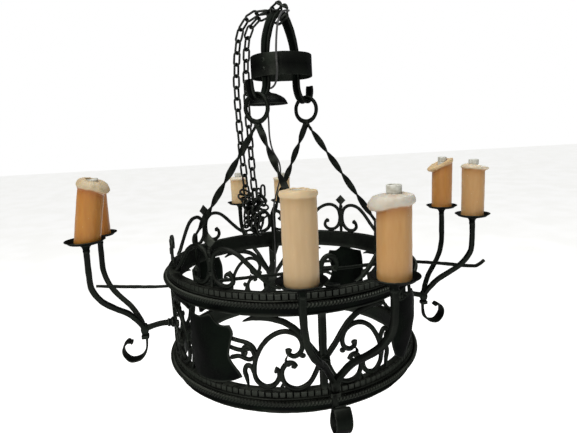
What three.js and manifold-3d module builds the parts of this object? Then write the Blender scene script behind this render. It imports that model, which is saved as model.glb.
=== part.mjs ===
// Hanging wrought-iron ring chandelier with four double arms. Millimetres, +Z up.
// The origin is the inner apex of the bail, the front arm points along -Y.
import * as THREE from "three";
import { mergeVertices } from "three/addons/utils/BufferGeometryUtils.js";
import Module from "manifold-3d";

const GAP = 0.3; // clearance between pieces that touch
const ROPE_TOP_Z = -640; // centre of the upper rope moulding
const ROPE_LOW_Z = -860; // centre of the lower rope moulding
const BAND_INNER_R = 301;
const BAND_SHEET = 3;
const BAND_FACE_R = 323;
const BAND_LEDGE_R = 318;
const BAND_ABOVE = 22; // band height above its rope centre
const BAND_BELOW = 27; // band height below its rope centre
const ROPE_R = 333;
const ROPE_WIRE_R = 5.5;
const RING_STEPS = 36;

const FRET_R = 314; // inside radius of the fretwork bars
const FRET_DEPTH = 8;
const FRET_REF_R = 330; // fretwork and shield widths are measured round this radius
const CREST_R = 307;
const CREST_DEPTH = 6;
const CREST_REF_R = 315;
const BAR_WIDTH = 10;

const HUB_Z = -773; // height of the four arm roots
const HUB_R = 13;
const PAN_R = 45.7;
const PAN_DISH = 8;
const PAN_FLOOR = 0.6; // top of the pan's floor above its own level
const SHEET = 1.6;
const ARM_REACH = 499; // from the axis to the pan centres, along the arm
const FORK_HALF = 81; // from the arm's middle line to each pan centre
const STEM_R = 6.5;
const CANDLE_R = 29.5;
const CANDLE_WALL = 4;
const HOLDER_R = 13;
const SOCKET_R = 8;
const SOCKET_DEPTH = 28;

const SEAT_Z = -206.5; // inside bottom of the two hooks
const EYE_R = 33;
const EYE_WIRE_R = 5;
const CROWN_R = 78;
const CROWN_TOP_Z = -100;
const CROWN_HEIGHT = 54;
const CROWN_SHEET = 4;
const POST_R = 248; // radius of the uprights under the twisted bars
const POST_TOP_Z = -545;
const FLAT_WIDTH = 18;
const FLAT_THICK = 5.5;
const POST_FOOT_Z = ROPE_TOP_Z - BAND_BELOW - GAP - FLAT_THICK / 2;
const ROD_R = 5;
const ROD_Z = POST_FOOT_Z - FLAT_THICK / 2 - GAP - ROD_R;

const wasm = await Module();
wasm.setup();

const iron = { color: 0x2b302e, roughness: 0.62, metalness: 0.7 };
const wax = { color: 0xd8b585, roughness: 0.55, metalness: 0 };
const grey = { color: 0xa9aaa6, roughness: 0.45, metalness: 0 };
const cable = { color: 0x1d1d1d, roughness: 0.6, metalness: 0 };

const group = new THREE.Group();

// Drops the surface attributes so that coincident vertices join.
function weld(geometry) {
  const plain = geometry.clone();
  plain.deleteAttribute("normal");
  plain.deleteAttribute("uv");
  return mergeVertices(plain, 1e-3);
}

function toSolid(geometry) {
  const plain = weld(geometry);
  return new wasm.Manifold(
    new wasm.Mesh({
      numProp: 3,
      vertProperties: plain.attributes.position.array,
      triVerts: new Uint32Array(plain.index.array),
    }),
  );
}

function toGeometry(solid) {
  const mesh = solid.getMesh();
  const geometry = new THREE.BufferGeometry();
  geometry.setAttribute("position", new THREE.BufferAttribute(mesh.vertProperties, 3));
  geometry.setIndex(new THREE.BufferAttribute(mesh.triVerts, 1));
  return geometry;
}

function union(geometries) {
  const joined = geometries.map(toSolid).reduce((all, one) => all.add(one));
  return toGeometry(joined);
}

function addPart(name, geometry, finish) {
  const plain = weld(geometry);
  plain.computeVertexNormals();
  const mesh = new THREE.Mesh(plain, new THREE.MeshStandardMaterial(finish));
  mesh.name = name;
  group.add(mesh);
}

// Turns a profile of [radius, height] pairs round Z. A profile off the axis closes on itself.
function turned(profile, steps, closed) {
  const points = profile.map(([r, z]) => new THREE.Vector2(r, z));
  if (closed) points.push(points[0].clone());
  return new THREE.LatheGeometry(points, steps).rotateX(Math.PI / 2);
}

function polygon(points, depth) {
  const shape = new THREE.Shape(points.map(([x, y]) => new THREE.Vector2(x, y)));
  return new THREE.ExtrudeGeometry(shape, { depth, bevelEnabled: false });
}

// The outline of a strip of even width along a smooth line through the points.
function stripOutline(points, width, steps) {
  const curve = new THREE.SplineCurve(points.map(([x, y]) => new THREE.Vector2(x, y)));
  const left = [];
  const right = [];
  for (let i = 0; i <= steps; i++) {
    const at = curve.getPointAt(i / steps);
    const along = curve.getTangentAt(i / steps);
    const side = new THREE.Vector2(-along.y, along.x).multiplyScalar(width / 2);
    left.push([at.x + side.x, at.y + side.y]);
    right.unshift([at.x - side.x, at.y - side.y]);
  }
  return [...right, ...left];
}

function strip(points, width, steps, depth) {
  return polygon(stripOutline(points, width, steps), depth);
}

const mirrored = (points) => points.map(([x, y]) => [-x, y]);

// Bends a flat piece drawn as (width round the ring, height, depth) onto the ring.
function wrapped(geometry, innerR, referenceR, azimuth) {
  const bent = geometry.index ? geometry.clone() : weld(geometry);
  const p = bent.attributes.position;
  for (let i = 0; i < p.count; i++) {
    const angle = azimuth + p.getX(i) / referenceR;
    const r = innerR + p.getZ(i);
    p.setXYZ(i, r * Math.sin(angle), -r * Math.cos(angle), p.getY(i));
  }
  return bent;
}

// A round bar through the points.
function roundBar(points, radius, steps, sides) {
  const shape = new THREE.Shape();
  for (let i = 0; i < sides; i++) {
    const a = (2 * Math.PI * i) / sides;
    const x = radius * Math.cos(a);
    const y = radius * Math.sin(a);
    if (i === 0) shape.moveTo(x, y);
    else shape.lineTo(x, y);
  }
  shape.closePath();
  const path = new THREE.CatmullRomCurve3(points.map((q) => new THREE.Vector3(...q)));
  return new THREE.ExtrudeGeometry(shape, { steps, bevelEnabled: false, extrudePath: path });
}

const turn = (geometry, angle) => geometry.clone().rotateZ(angle);

// A piece drawn as (radius, height) and given a width across the arm, centred on the arm at -Y.
function acrossArm(geometry, width) {
  return geometry.translate(0, 0, -width / 2).rotateX(Math.PI / 2).rotateZ(-Math.PI / 2);
}

// ---- bands and ropes ----
function bandProfile(ropeZ) {
  const top = ropeZ + BAND_ABOVE;
  const low = ropeZ - BAND_BELOW;
  const inner = BAND_INNER_R + BAND_SHEET;
  const face = BAND_FACE_R - BAND_SHEET;
  return [
    [BAND_INNER_R, low],
    [inner, low],
    [inner, top - BAND_SHEET],
    [BAND_LEDGE_R - 2, top - BAND_SHEET],
    [face, low],
    [BAND_FACE_R, low],
    [BAND_FACE_R + 3, ropeZ + 8],
    [BAND_LEDGE_R, top],
    [BAND_INNER_R, top],
  ];
}

for (const [name, z] of [["upper", ROPE_TOP_Z], ["lower", ROPE_LOW_Z]]) {
  addPart(name + "_band", turned(bandProfile(z), RING_STEPS, true), iron);
  const rope = [];
  for (let i = 0; i < 5; i++) {
    const a = (2 * Math.PI * i) / 5 + Math.PI;
    rope.push([ROPE_R + ROPE_WIRE_R * Math.cos(a), z - 1 + ROPE_WIRE_R * Math.sin(a)]);
  }
  addPart(name + "_rope", turned(rope, RING_STEPS, true), iron);
}

// ---- fretwork between the bands, one quarter centred on each arm ----
// Heights are counted from the upper rope.
const FRET_TOP = -BAND_BELOW - GAP;
const FRET_LOW = ROPE_LOW_Z + BAND_ABOVE - ROPE_TOP_Z + GAP;
const ARCH = [[6, -128], [24, -106], [47, -74], [64, -55], [88, -40], [120, -32.5], [150, -33],
  [176, -42]];
const LARGE_SCROLL = [[76, -101], [76, -113], [64, -119], [50, -110], [46, -92], [55, -73],
  [76, -63], [98, -65], [120, -78], [139, -100], [153, -130], [157, -160], [149, -179],
  [131, -189], [112, -184], [101, -169], [101, -153], [110, -149]];
const SMALL_SCROLL = [[64, -145], [68, -135], [80, -134], [91, -146], [94, -162], [88, -180],
  [74, -191], [55, -193], [34, -183], [21, -165], [10, -142]];
const UPPER_CURL = [[153, -128], [157, -110], [167, -99], [179, -103], [181, -114], [172, -118]];
const LOWER_CURL = [[157, -160], [163, -146], [174, -144], [180, -156], [176, -172],
  [172, -193]];
const ARCH_WIDTH = 12.5;
const MULLION_HALF = 8.5; // half width of the centre bar
// Each line with its bar's width and its number of steps.
const FRET_LINES = [[ARCH, ARCH_WIDTH, 9], [LARGE_SCROLL, BAR_WIDTH, 20],
  [SMALL_SCROLL, BAR_WIDTH, 13], [UPPER_CURL, BAR_WIDTH, 6], [LOWER_CURL, BAR_WIDTH, 6]];

// Cuts a flat piece off above and below two heights.
function trimmed(flat, low, high) {
  const slab = new THREE.BoxGeometry(1000, high - low, 100).translate(0, (low + high) / 2, 0);
  return toGeometry(toSolid(flat).intersect(toSolid(slab)));
}

function fretPiece() {
  const pieces = [
    new THREE.BoxGeometry(2 * MULLION_HALF, FRET_TOP - FRET_LOW, FRET_DEPTH)
      .translate(0, (FRET_TOP + FRET_LOW) / 2, FRET_DEPTH / 2),
    new THREE.CylinderGeometry(HUB_R, HUB_R, FRET_DEPTH, 10)
      .rotateX(Math.PI / 2)
      .translate(0, HUB_Z - ROPE_TOP_Z, FRET_DEPTH / 2),
  ];
  for (const [line, width, steps] of FRET_LINES) {
    pieces.push(strip(line, width, steps, FRET_DEPTH));
    pieces.push(strip(mirrored(line), width, steps, FRET_DEPTH));
  }
  return trimmed(union(pieces), FRET_LOW, FRET_TOP).translate(0, ROPE_TOP_Z, 0);
}

// ---- shields between the fretwork quarters ----
const SHIELD_OUTLINE = [[-58, -36], [-30, -39], [-5, -37], [12, -29], [22, -42], [34, -49],
  [50, -44], [64, -34], [60, -62], [58, -90], [54, -120], [51, -140], [58, -164], [40, -184],
  [0, -192], [-40, -186], [-60, -172], [-69, -140], [-70, -100], [-65, -64]];
const SHIELD_BOW_R = 120;
const SHIELD_SHEET = 3;
const SHIELD_FRONT_R = 342;

function shieldPiece() {
  const shell = turned(
    [
      [SHIELD_BOW_R - SHIELD_SHEET, FRET_LOW],
      [SHIELD_BOW_R, FRET_LOW],
      [SHIELD_BOW_R, FRET_TOP],
      [SHIELD_BOW_R - SHIELD_SHEET, FRET_TOP],
    ],
    72,
    true,
  ).translate(0, SHIELD_BOW_R - SHIELD_FRONT_R, 0);
  const outline = polygon(SHIELD_OUTLINE, 60)
    .rotateX(Math.PI / 2)
    .translate(0, -290, 0);
  return toGeometry(toSolid(shell).intersect(toSolid(outline))).translate(0, 0, ROPE_TOP_Z);
}

// ---- crests that stand on the upper band ----
const CREST_FOOT = BAND_ABOVE + GAP;
const CREST_SCROLL = [[45, 60], [56, 52], [57, 38], [44, 28], [24, 30], [9, 46], [4, 70],
  [10, 95], [28, 109], [50, 110], [72, 101], [94, 82], [118, 58], [143, 37], [164, 26]];
const CREST_TOP = 150;
const CREST_POST_HALF = 4;
const CREST_POST_TOP = 114; // inside the lozenge's foot
const LOZENGE = [[0, 143], [19, 126], [0, 109], [-19, 126]];
const ARM_SCROLL = [[30, 60], [38, 72], [33, 87], [18, 92], [6, 80], [2, 60], [6, 40],
  [20, 27], [44, 26]];

function crestPiece() {
  const pieces = [
    new THREE.BoxGeometry(2 * CREST_POST_HALF, CREST_POST_TOP - CREST_FOOT, CREST_DEPTH)
      .translate(0, (CREST_POST_TOP + CREST_FOOT) / 2, CREST_DEPTH / 2),
    polygon(LOZENGE, CREST_DEPTH),
  ];
  for (const line of [CREST_SCROLL, mirrored(CREST_SCROLL)]) {
    pieces.push(strip(line, BAR_WIDTH, 20, CREST_DEPTH));
  }
  return trimmed(union(pieces), CREST_FOOT, CREST_TOP).translate(0, ROPE_TOP_Z, 0);
}

function armCrestPiece() {
  const pieces = [ARM_SCROLL, mirrored(ARM_SCROLL)].map((line) =>
    strip(line, BAR_WIDTH, 12, CREST_DEPTH),
  );
  return trimmed(union(pieces), CREST_FOOT, CREST_TOP).translate(0, ROPE_TOP_Z, 0);
}

// ---- arms ----
// Each stem runs from the fork up to its pan: [radius, across, height].
const FORK_AT = [398, 0, -783];
const STEM_PATH = [[398, 0, -783], [409, 13, -757], [430, 28, -727], [456, 44, -704],
  [482, 62, -676], [498, 77, -640], [500, 81, -600]];
const TAIL = [[398, -780], [395, -812], [399, -842], [414, -861], [438, -864], [454, -846],
  [455, -826], [443, -811], [431, -816]];
const TAIL_WIDTH = 16;
const TAIL_THICK = 6;
const LEAF_FROM = 2; // the tail broadens into a leaf from this point of its line
const LEAF_WIDTH = 34;
const LEAF_THICK = 4;
const ROOT_FROM_R = FRET_R + FRET_DEPTH + GAP + 0.6; // the root starts just off the fretwork
const ROOT_COLLAR_R = 12;
const ROOT_COLLAR_LENGTH = 9;
const ROOT_COLLAR_AT_R = FRET_R + 16;
const FORK_KNOT_R = 11;

// Height of each pan above the nominal level: the arms were bent by hand.
const PANS = [
  { name: "front_left", arm: 0, side: -1, z: -539 },
  { name: "front_right", arm: 0, side: 1, z: -547 },
  { name: "right_front", arm: 1, side: -1, z: -539 },
  { name: "right_back", arm: 1, side: 1, z: -539 },
  { name: "back_right", arm: 2, side: -1, z: -546 },
  { name: "back_left", arm: 2, side: 1, z: -543 },
  { name: "left_back", arm: 3, side: -1, z: -539 },
  { name: "left_front", arm: 3, side: 1, z: -524 },
];
const ARM_NAMES = ["front", "right", "back", "left"];

function armPoint([r, across, z]) {
  return [across, -r, z];
}

function forkPiece(arm) {
  const pieces = [];
  for (const pan of PANS.filter((p) => p.arm === arm)) {
    const path = STEM_PATH.map(([r, t, z]) => [r, t * pan.side, z]);
    path.push([ARM_REACH, FORK_HALF * pan.side, pan.z - 1 - GAP]);
    pieces.push(roundBar(path.map(armPoint), STEM_R, 11, 6));
  }
  const root = [[ROOT_FROM_R, 0, HUB_Z], [360, 0, HUB_Z - 1], FORK_AT];
  pieces.push(roundBar(root.map(armPoint), STEM_R + 1, 3, 6));
  pieces.push(
    new THREE.CylinderGeometry(ROOT_COLLAR_R, ROOT_COLLAR_R, ROOT_COLLAR_LENGTH, 8)
      .translate(0, -ROOT_COLLAR_AT_R, HUB_Z),
  );
  pieces.push(new THREE.SphereGeometry(FORK_KNOT_R, 8, 6).translate(0, -FORK_AT[0], FORK_AT[2]));
  pieces.push(acrossArm(strip(TAIL, TAIL_THICK, 14, TAIL_WIDTH), TAIL_WIDTH));
  pieces.push(acrossArm(strip(TAIL.slice(LEAF_FROM), LEAF_THICK, 10, LEAF_WIDTH), LEAF_WIDTH));
  return union(pieces);
}

function panPiece(pan) {
  return turned(
    [
      [0, -1],
      [CANDLE_R + 1.5, -1],
      [PAN_R, PAN_DISH],
      [PAN_R - SHEET, PAN_DISH],
      [CANDLE_R + 1, PAN_FLOOR],
      [0, PAN_FLOOR],
    ],
    18,
    false,
  ).translate(FORK_HALF * pan.side, -ARM_REACH, pan.z);
}

// Candle heights above the pan.
const CANDLE_HEIGHT = {
  front_left: 158,
  front_right: 150,
  right_front: 142,
  right_back: 142,
  back_right: 96,
  back_left: 102,
  left_back: 140,
  left_front: 146,
};

// How far each lamp holder stands out of its sleeve: two are sunk just under the wax.
const STUB = 12;
const SUNK_STUB = -2;
const SUNK = ["front_left", "left_front"];

function sleevePiece(pan) {
  const height = CANDLE_HEIGHT[pan.name];
  const hole = HOLDER_R + 1;
  return turned(
    [
      [CANDLE_R - CANDLE_WALL, 0],
      [CANDLE_R, 0],
      [CANDLE_R, height - 6],
      [CANDLE_R - 5, height],
      [hole, height + 1],
      [hole, height - 5],
      [CANDLE_R - CANDLE_WALL, height - 7],
    ],
    14,
    true,
  ).translate(FORK_HALF * pan.side, -ARM_REACH, pan.z + PAN_FLOOR + GAP);
}

// One light leans: its wax tube and holder stand aside on the pan and slope away from it.
const LEANING = "left_front";
const LEAN_BASE = 5;
const LEAN_LIFT = 2.4; // the tube's edge rides up the dish
const LEAN_SLOPE = 0.19;
const LEAN_AZIMUTH = 1.37; // measured like the arms' azimuths

function leaning(pan, geometry) {
  if (pan.name !== LEANING) return geometry;
  const [dx, dy] = [Math.sin(LEAN_AZIMUTH), -Math.cos(LEAN_AZIMUTH)];
  const foot = pan.z + PAN_FLOOR + GAP;
  const p = geometry.attributes.position;
  for (let i = 0; i < p.count; i++) {
    const aside = LEAN_BASE + LEAN_SLOPE * (p.getZ(i) - foot);
    p.setXYZ(i, p.getX(i) + dx * aside, p.getY(i) + dy * aside, p.getZ(i) + LEAN_LIFT);
  }
  return geometry;
}

function holderPiece(pan) {
  const top = CANDLE_HEIGHT[pan.name] + (SUNK.includes(pan.name) ? SUNK_STUB : STUB);
  return turned(
    [
      [0, 0],
      [HOLDER_R, 0],
      [HOLDER_R, top],
      [SOCKET_R, top],
      [SOCKET_R, top - SOCKET_DEPTH],
      [0, top - SOCKET_DEPTH],
    ],
    10,
    false,
  ).translate(FORK_HALF * pan.side, -ARM_REACH, pan.z + PAN_FLOOR + GAP);
}

// ---- hanger: bail with two hooks, crown band, two eyes, four twisted bars ----
const HANGER_AT = -Math.PI / 4; // azimuth of the bail's plane
const BAIL_THICK = 7;
const BAIL_WIDTH = 22;
const EYE_REACH = 114; // from the axis to each eye, along the bail's plane
// One half of the bail and its hook: [distance from the axis, height].
const BAIL_HALF = [[0, 3.5], [16, -1], [34, -16], [50, -40], [62, -68], [67, -96], [68, -124],
  [68, -150], [70, -178], [82, -199], [98, -208.5], [114, -210], [128, -203], [136, -188],
  [138, -166]];

function bailPiece() {
  const full = [...mirrored(BAIL_HALF.slice(1)).reverse(), ...BAIL_HALF];
  return strip(full, BAIL_THICK, 44, BAIL_WIDTH)
    .translate(0, 0, -BAIL_WIDTH / 2)
    .rotateX(Math.PI / 2)
    .rotateZ(HANGER_AT - Math.PI / 2);
}

function hangerPoint(side, tangent, z) {
  const a = HANGER_AT + (side > 0 ? 0 : Math.PI);
  const u = EYE_REACH;
  return [
    u * Math.sin(a) + tangent * Math.cos(a),
    -u * Math.cos(a) + tangent * Math.sin(a),
    z,
  ];
}

// Each ring hangs on its hook with enough room to swing.
const EYE_DROP = 23.2;
const COLLAR_WIDTH = 20;
const COLLAR_DEPTH = 12;
const COLLAR_HEIGHT = 9;
const COLLAR_LAP = 2.5; // how far the collar reaches up over the ring
const EYE_Z = SEAT_Z - EYE_DROP;
const BAR_WELD_DROP = 3; // a twisted bar starts this far under its ring's collar
const BAR_ASIDE = 7; // and this far out from the collar's middle
const BAR_TWIST = 4 * Math.PI; // two full turns

function eyePiece(side) {
  const ring = new THREE.TorusGeometry(EYE_R, EYE_WIRE_R, 6, 18).rotateX(Math.PI / 2);
  const collar = new THREE.BoxGeometry(COLLAR_WIDTH, COLLAR_DEPTH, COLLAR_HEIGHT)
    .translate(0, 0, COLLAR_LAP - EYE_R - COLLAR_HEIGHT / 2);
  const [x, y] = hangerPoint(side, 0, 0);
  return union([ring, collar]).rotateZ(HANGER_AT).translate(x, y, EYE_Z);
}

// A flat bar twisted through two full turns, then an upright with a foot that meets the band.
function twistedBar(arm, side) {
  const azimuth = (arm * Math.PI) / 2;
  const [ex, ey] = hangerPoint(side, 0, 0);
  const post = new THREE.Vector3(POST_R * Math.sin(azimuth), -POST_R * Math.cos(azimuth), POST_TOP_Z);
  const collarFoot = EYE_Z - EYE_R + COLLAR_LAP - COLLAR_HEIGHT;
  const eye = new THREE.Vector3(ex, ey, collarFoot - GAP - BAR_WELD_DROP);
  const toPost = new THREE.Vector3().subVectors(post, eye);
  const flat = new THREE.Vector3(toPost.x, toPost.y, 0).normalize();
  const start = eye.clone().addScaledVector(flat, BAR_ASIDE);
  const along = new THREE.Vector3().subVectors(post, start);
  const length = along.length();
  const bar = new THREE.BoxGeometry(FLAT_WIDTH - 2, FLAT_THICK, length, 1, 1, 20);
  const p = bar.attributes.position;
  for (let i = 0; i < p.count; i++) {
    const turnBy = BAR_TWIST * (p.getZ(i) / length + 0.5);
    const x = p.getX(i);
    const y = p.getY(i);
    p.setX(i, x * Math.cos(turnBy) - y * Math.sin(turnBy));
    p.setY(i, x * Math.sin(turnBy) + y * Math.cos(turnBy));
  }
  const axis = along.clone().normalize();
  bar.applyQuaternion(
    new THREE.Quaternion().setFromUnitVectors(new THREE.Vector3(0, 0, 1), axis),
  );
  const middle = new THREE.Vector3().addVectors(start, post).multiplyScalar(0.5);
  bar.translate(middle.x, middle.y, middle.z);
  const upright = strip(
    [[POST_R, POST_TOP_Z + 8], [POST_R, -600], [POST_R, -652], [POST_R + 6, -668],
      [POST_R + 22, POST_FOOT_Z], [BAND_INNER_R + 8, POST_FOOT_Z]],
    FLAT_THICK,
    9,
    FLAT_WIDTH - 2,
  );
  return union([bar, acrossArm(upright, FLAT_WIDTH - 2).rotateZ(azimuth)]);
}

// ---- loose pieces ----
const WIRE_R = 2.5;
const CANOPY_AT = [-29, 67, -215];

function canopyPiece() {
  return turned(
    [[5, 0], [50, 0], [56, 3], [48, 16], [26, 28], [9, 34], [5, 34]],
    18,
    true,
  ).translate(...CANOPY_AT);
}

// The chain is wound once round the bail's apex and hangs slack inside the drum.
const CHAIN_R = 9;
const CHAIN_LOOP_R = 18.5;
const CHAIN_LOOP_WIRE_R = 5;
const CHAIN_PATH = [[-12.5, 12.5, 3.5], [-24, 20, 4], [-44, 25, 0], [-70, 32, -16], [-90, 38, -64],
  [-95, 40, -150], [-93, 40, -300], [-88, 38, -440], [-80, 34, -540]];

function chainPiece() {
  const loop = new THREE.TorusGeometry(CHAIN_LOOP_R, CHAIN_LOOP_WIRE_R, 6, 14)
    .rotateX(Math.PI / 2)
    .rotateZ(HANGER_AT)
    .translate(0, 0, BAIL_THICK / 2);
  return union([loop, roundBar(CHAIN_PATH, CHAIN_R, 14, 6)]);
}

// The flex starts at the chain's loop, hangs through the canopy, follows the back twisted bar
// and upright, and enters the root of the back arm.
const WIRE_PATH = [[17.1, -17.1, 3.5], [19, -30, 2], [-2, -48, -6], [-18, -68, -38],
  [-28, -88, -98], [-28, -89, -146], [-29, -66, -172], [-29, -10, -178], [-29, 40, -174],
  [-29, 64, -177], [-29, 67, -190], [-29, 67, -217], [-28, 71, -258], [-26, 79, -304],
  [-16, 98, -340], [4, 130, -370], [14, 156, -394], [15, 172, -424], [9, 188, -458],
  [0, 212, -505], [-2, 231, -545], [0, 240, -585], [0, 241, -640], [0, 242, -690],
  [0, 258, -738], [0, 288, -768], [0, 313.4, -773]];
const ROD_Y = 15.5; // clears the centre bars of the side fretwork
const ROD_PATH = [[-508, ROD_Y, -659], [-420, ROD_Y, -670], [-330, ROD_Y, ROD_Z],
  [-160, ROD_Y, ROD_Z], [160, ROD_Y, ROD_Z], [330, ROD_Y, ROD_Z], [450, ROD_Y, -694],
  [560, ROD_Y, -714], [588, ROD_Y, -712], [606, ROD_Y, -700]];

// ---- assembly ----
const fret = fretPiece();
const shield = shieldPiece();
const crest = crestPiece();
const armCrest = armCrestPiece();
ARM_NAMES.forEach((name, i) => {
  const azimuth = (i * Math.PI) / 2;
  const eyeSide = i === 0 || i === 3 ? 1 : -1;
  addPart("fretwork_" + name, wrapped(fret, FRET_R, FRET_REF_R, azimuth), iron);
  addPart("arm_crest_" + name, wrapped(armCrest, CREST_R, CREST_REF_R, azimuth), iron);
  addPart("shield_" + name, turn(shield, azimuth + Math.PI / 4), iron);
  addPart("crest_" + name, wrapped(crest, CREST_R, CREST_REF_R, azimuth + Math.PI / 4), iron);
  addPart("arm_" + name, turn(forkPiece(i), azimuth), iron);
  addPart("twisted_bar_" + name, twistedBar(i, eyeSide), iron);
});

for (const pan of PANS) {
  const azimuth = (pan.arm * Math.PI) / 2;
  addPart("pan_" + pan.name, turn(panPiece(pan), azimuth), iron);
  addPart("sleeve_" + pan.name, leaning(pan, turn(sleevePiece(pan), azimuth)), wax);
  addPart("holder_" + pan.name, leaning(pan, turn(holderPiece(pan), azimuth)), grey);
}

addPart("bail", bailPiece(), iron);
addPart(
  "crown_band",
  turned(
    [
      [CROWN_R - CROWN_SHEET, CROWN_TOP_Z - CROWN_HEIGHT],
      [CROWN_R, CROWN_TOP_Z - CROWN_HEIGHT],
      [CROWN_R, CROWN_TOP_Z],
      [CROWN_R - CROWN_SHEET, CROWN_TOP_Z],
    ],
    36,
    true,
  ),
  iron,
);
addPart("eye_left", eyePiece(1), iron);
addPart("eye_right", eyePiece(-1), iron);
addPart("canopy", canopyPiece(), iron);
addPart("chain", chainPiece(), iron);
addPart("wire", roundBar(WIRE_PATH, WIRE_R, 78, 8), cable);
addPart("cross_rod", roundBar(ROD_PATH, ROD_R, 12, 7), iron);

export default group;
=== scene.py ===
"""A wrought-iron ring chandelier with eight wax-look candle lights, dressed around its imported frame.

All sizes in this file are in millimetres until a mesh is made, unless a name says otherwise.
"""

import logging
import math
from dataclasses import dataclass
from enum import Enum
from functools import partial
from typing import Callable, Optional, Sequence

import bmesh
import bpy
from mathutils import Matrix, Vector, noise


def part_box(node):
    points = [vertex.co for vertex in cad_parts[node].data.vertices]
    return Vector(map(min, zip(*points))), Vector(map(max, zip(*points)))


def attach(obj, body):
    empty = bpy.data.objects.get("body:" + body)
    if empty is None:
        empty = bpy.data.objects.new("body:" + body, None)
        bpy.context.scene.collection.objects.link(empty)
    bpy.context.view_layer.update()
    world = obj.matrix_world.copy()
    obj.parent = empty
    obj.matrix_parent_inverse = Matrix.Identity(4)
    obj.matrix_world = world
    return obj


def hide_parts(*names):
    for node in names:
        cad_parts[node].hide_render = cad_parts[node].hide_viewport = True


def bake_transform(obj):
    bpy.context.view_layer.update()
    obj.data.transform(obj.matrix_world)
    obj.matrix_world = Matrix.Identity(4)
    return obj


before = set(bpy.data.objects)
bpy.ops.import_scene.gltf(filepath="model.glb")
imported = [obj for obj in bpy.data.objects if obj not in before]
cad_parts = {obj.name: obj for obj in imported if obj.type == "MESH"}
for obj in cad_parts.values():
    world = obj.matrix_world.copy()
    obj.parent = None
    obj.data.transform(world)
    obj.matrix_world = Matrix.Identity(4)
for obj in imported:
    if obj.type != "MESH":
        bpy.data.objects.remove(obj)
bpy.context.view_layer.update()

MM = 0.001
SPLINE_PARTS = 14
NOISE_SEED = 1  # keeps the hammer marks the same in each run
LOG = logging.getLogger("chandelier")

Place = Callable[[float, float, float], Vector]
NodeAdder = Callable[..., bpy.types.Node]
Outline = list[tuple[float, float]]
Marks = dict[str, float]
Points = Sequence[Sequence[float]]


class Slot(Enum):
    """Material slots of the record."""

    IRON = "wrought_iron"
    WAX = "wax_sleeve"
    HOLDER = "lamp_holder"
    CABLE = "cable_sheath"


class Body(Enum):
    """Bodies that more than one piece rides on."""

    HANGER = "hanger"
    RING = "ring"


class End(Enum):
    """How the smith finished the end of a bar."""

    CUT = "cut"
    POINT = "point"
    FISHTAIL = "fishtail"


# ---------------------------------------------------------------- places and lines


def box_mm(node: str) -> tuple[Vector, Vector]:
    """Lowest and highest corner of a CAD node, in millimetres."""
    low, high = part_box(node)
    return low / MM, high / MM


@dataclass(frozen=True)
class DrumFace:
    """The round face of the ring, on which flat scrollwork is bent.

    A flat piece is drawn as width round the ring, height, and depth outwards.
    """

    inner_r: float
    reference_r: float
    azimuth: float
    base_z: float

    def __call__(self, s: float, z: float, depth: float) -> Vector:
        """Bends a flat point on the ring.

        Args:
            s: Width round the ring.
            z: Height over the base.
            depth: Distance outwards from the inner face.

        Returns:
            The point.
        """
        angle = self.azimuth + s / self.reference_r
        r = self.inner_r + depth
        return Vector((r * math.sin(angle), -r * math.cos(angle), self.base_z + z))


@dataclass(frozen=True)
class ArmPlane:
    """The upright plane through the axis at one azimuth."""

    azimuth: float

    def __call__(self, r: float, z: float, across: float) -> Vector:
        """Returns the point at a distance from the axis, a height and a step sideways."""
        sine, cosine = math.sin(self.azimuth), math.cos(self.azimuth)
        return Vector((r * sine + across * cosine, -r * cosine + across * sine, z))


def even_steps(dense: Sequence[Vector], step: float) -> list[Vector]:
    """Walks a fine polyline in equal steps.

    Args:
        dense: The fine polyline.
        step: The wanted distance between points.

    Returns:
        Points at equal distances, with both ends kept.
    """
    reach = [0.0]
    for a, b in zip(dense, dense[1:]):
        reach.append(reach[-1] + (b - a).length)
    count = max(2, round(reach[-1] / step))
    walked = []
    k = 0
    for i in range(count + 1):
        target = reach[-1] * i / count
        while k < len(dense) - 2 and reach[k + 1] < target:
            k += 1
        span = max(reach[k + 1] - reach[k], 1e-9)
        walked.append(dense[k].lerp(dense[k + 1], min(1.0, (target - reach[k]) / span)))
    return walked


def smooth_line(points: Points, step: float) -> list[Vector]:
    """Runs a smooth line through given points.

    Args:
        points: Two or three numbers each.
        step: The distance between the points that come back.

    Returns:
        Points along a Catmull-Rom line.
    """
    knots = [Vector((*p, 0.0)[:3]) for p in points]
    run = [knots[0] * 2 - knots[1], *knots, knots[-1] * 2 - knots[-2]]
    dense = []
    for a, b, c, d in zip(run, run[1:], run[2:], run[3:]):
        for k in range(SPLINE_PARTS):
            t = k / SPLINE_PARTS
            square = (a * 2 - b * 5 + c * 4 - d) * t * t
            cube = (b * 3 - a - c * 3 + d) * t**3
            dense.append((b * 2 + (c - a) * t + square + cube) * 0.5)
    dense.append(knots[-1])
    return even_steps(dense, step)


def line_length(line: Sequence[Vector]) -> float:
    """Length of a polyline."""
    return sum((b - a).length for a, b in zip(line, line[1:]))


def tangent_at(line: Sequence[Vector], i: int) -> Vector:
    """Direction of a polyline at its point of number i."""
    return (line[min(i + 1, len(line) - 1)] - line[max(i - 1, 0)]).normalized()


def point_at(line: Sequence[Vector], share: float) -> Vector:
    """Point of an even polyline at a share of its length.

    Args:
        line: The polyline, in even steps.
        share: From 0 to 1.

    Returns:
        The point.
    """
    at = share * (len(line) - 1)
    k = min(int(at), len(line) - 2)
    return line[k].lerp(line[k + 1], at - k)


def mirrored(points: Points) -> Outline:
    """A flat outline turned over left to right."""
    return [(-p[0], p[1]) for p in points]


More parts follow.
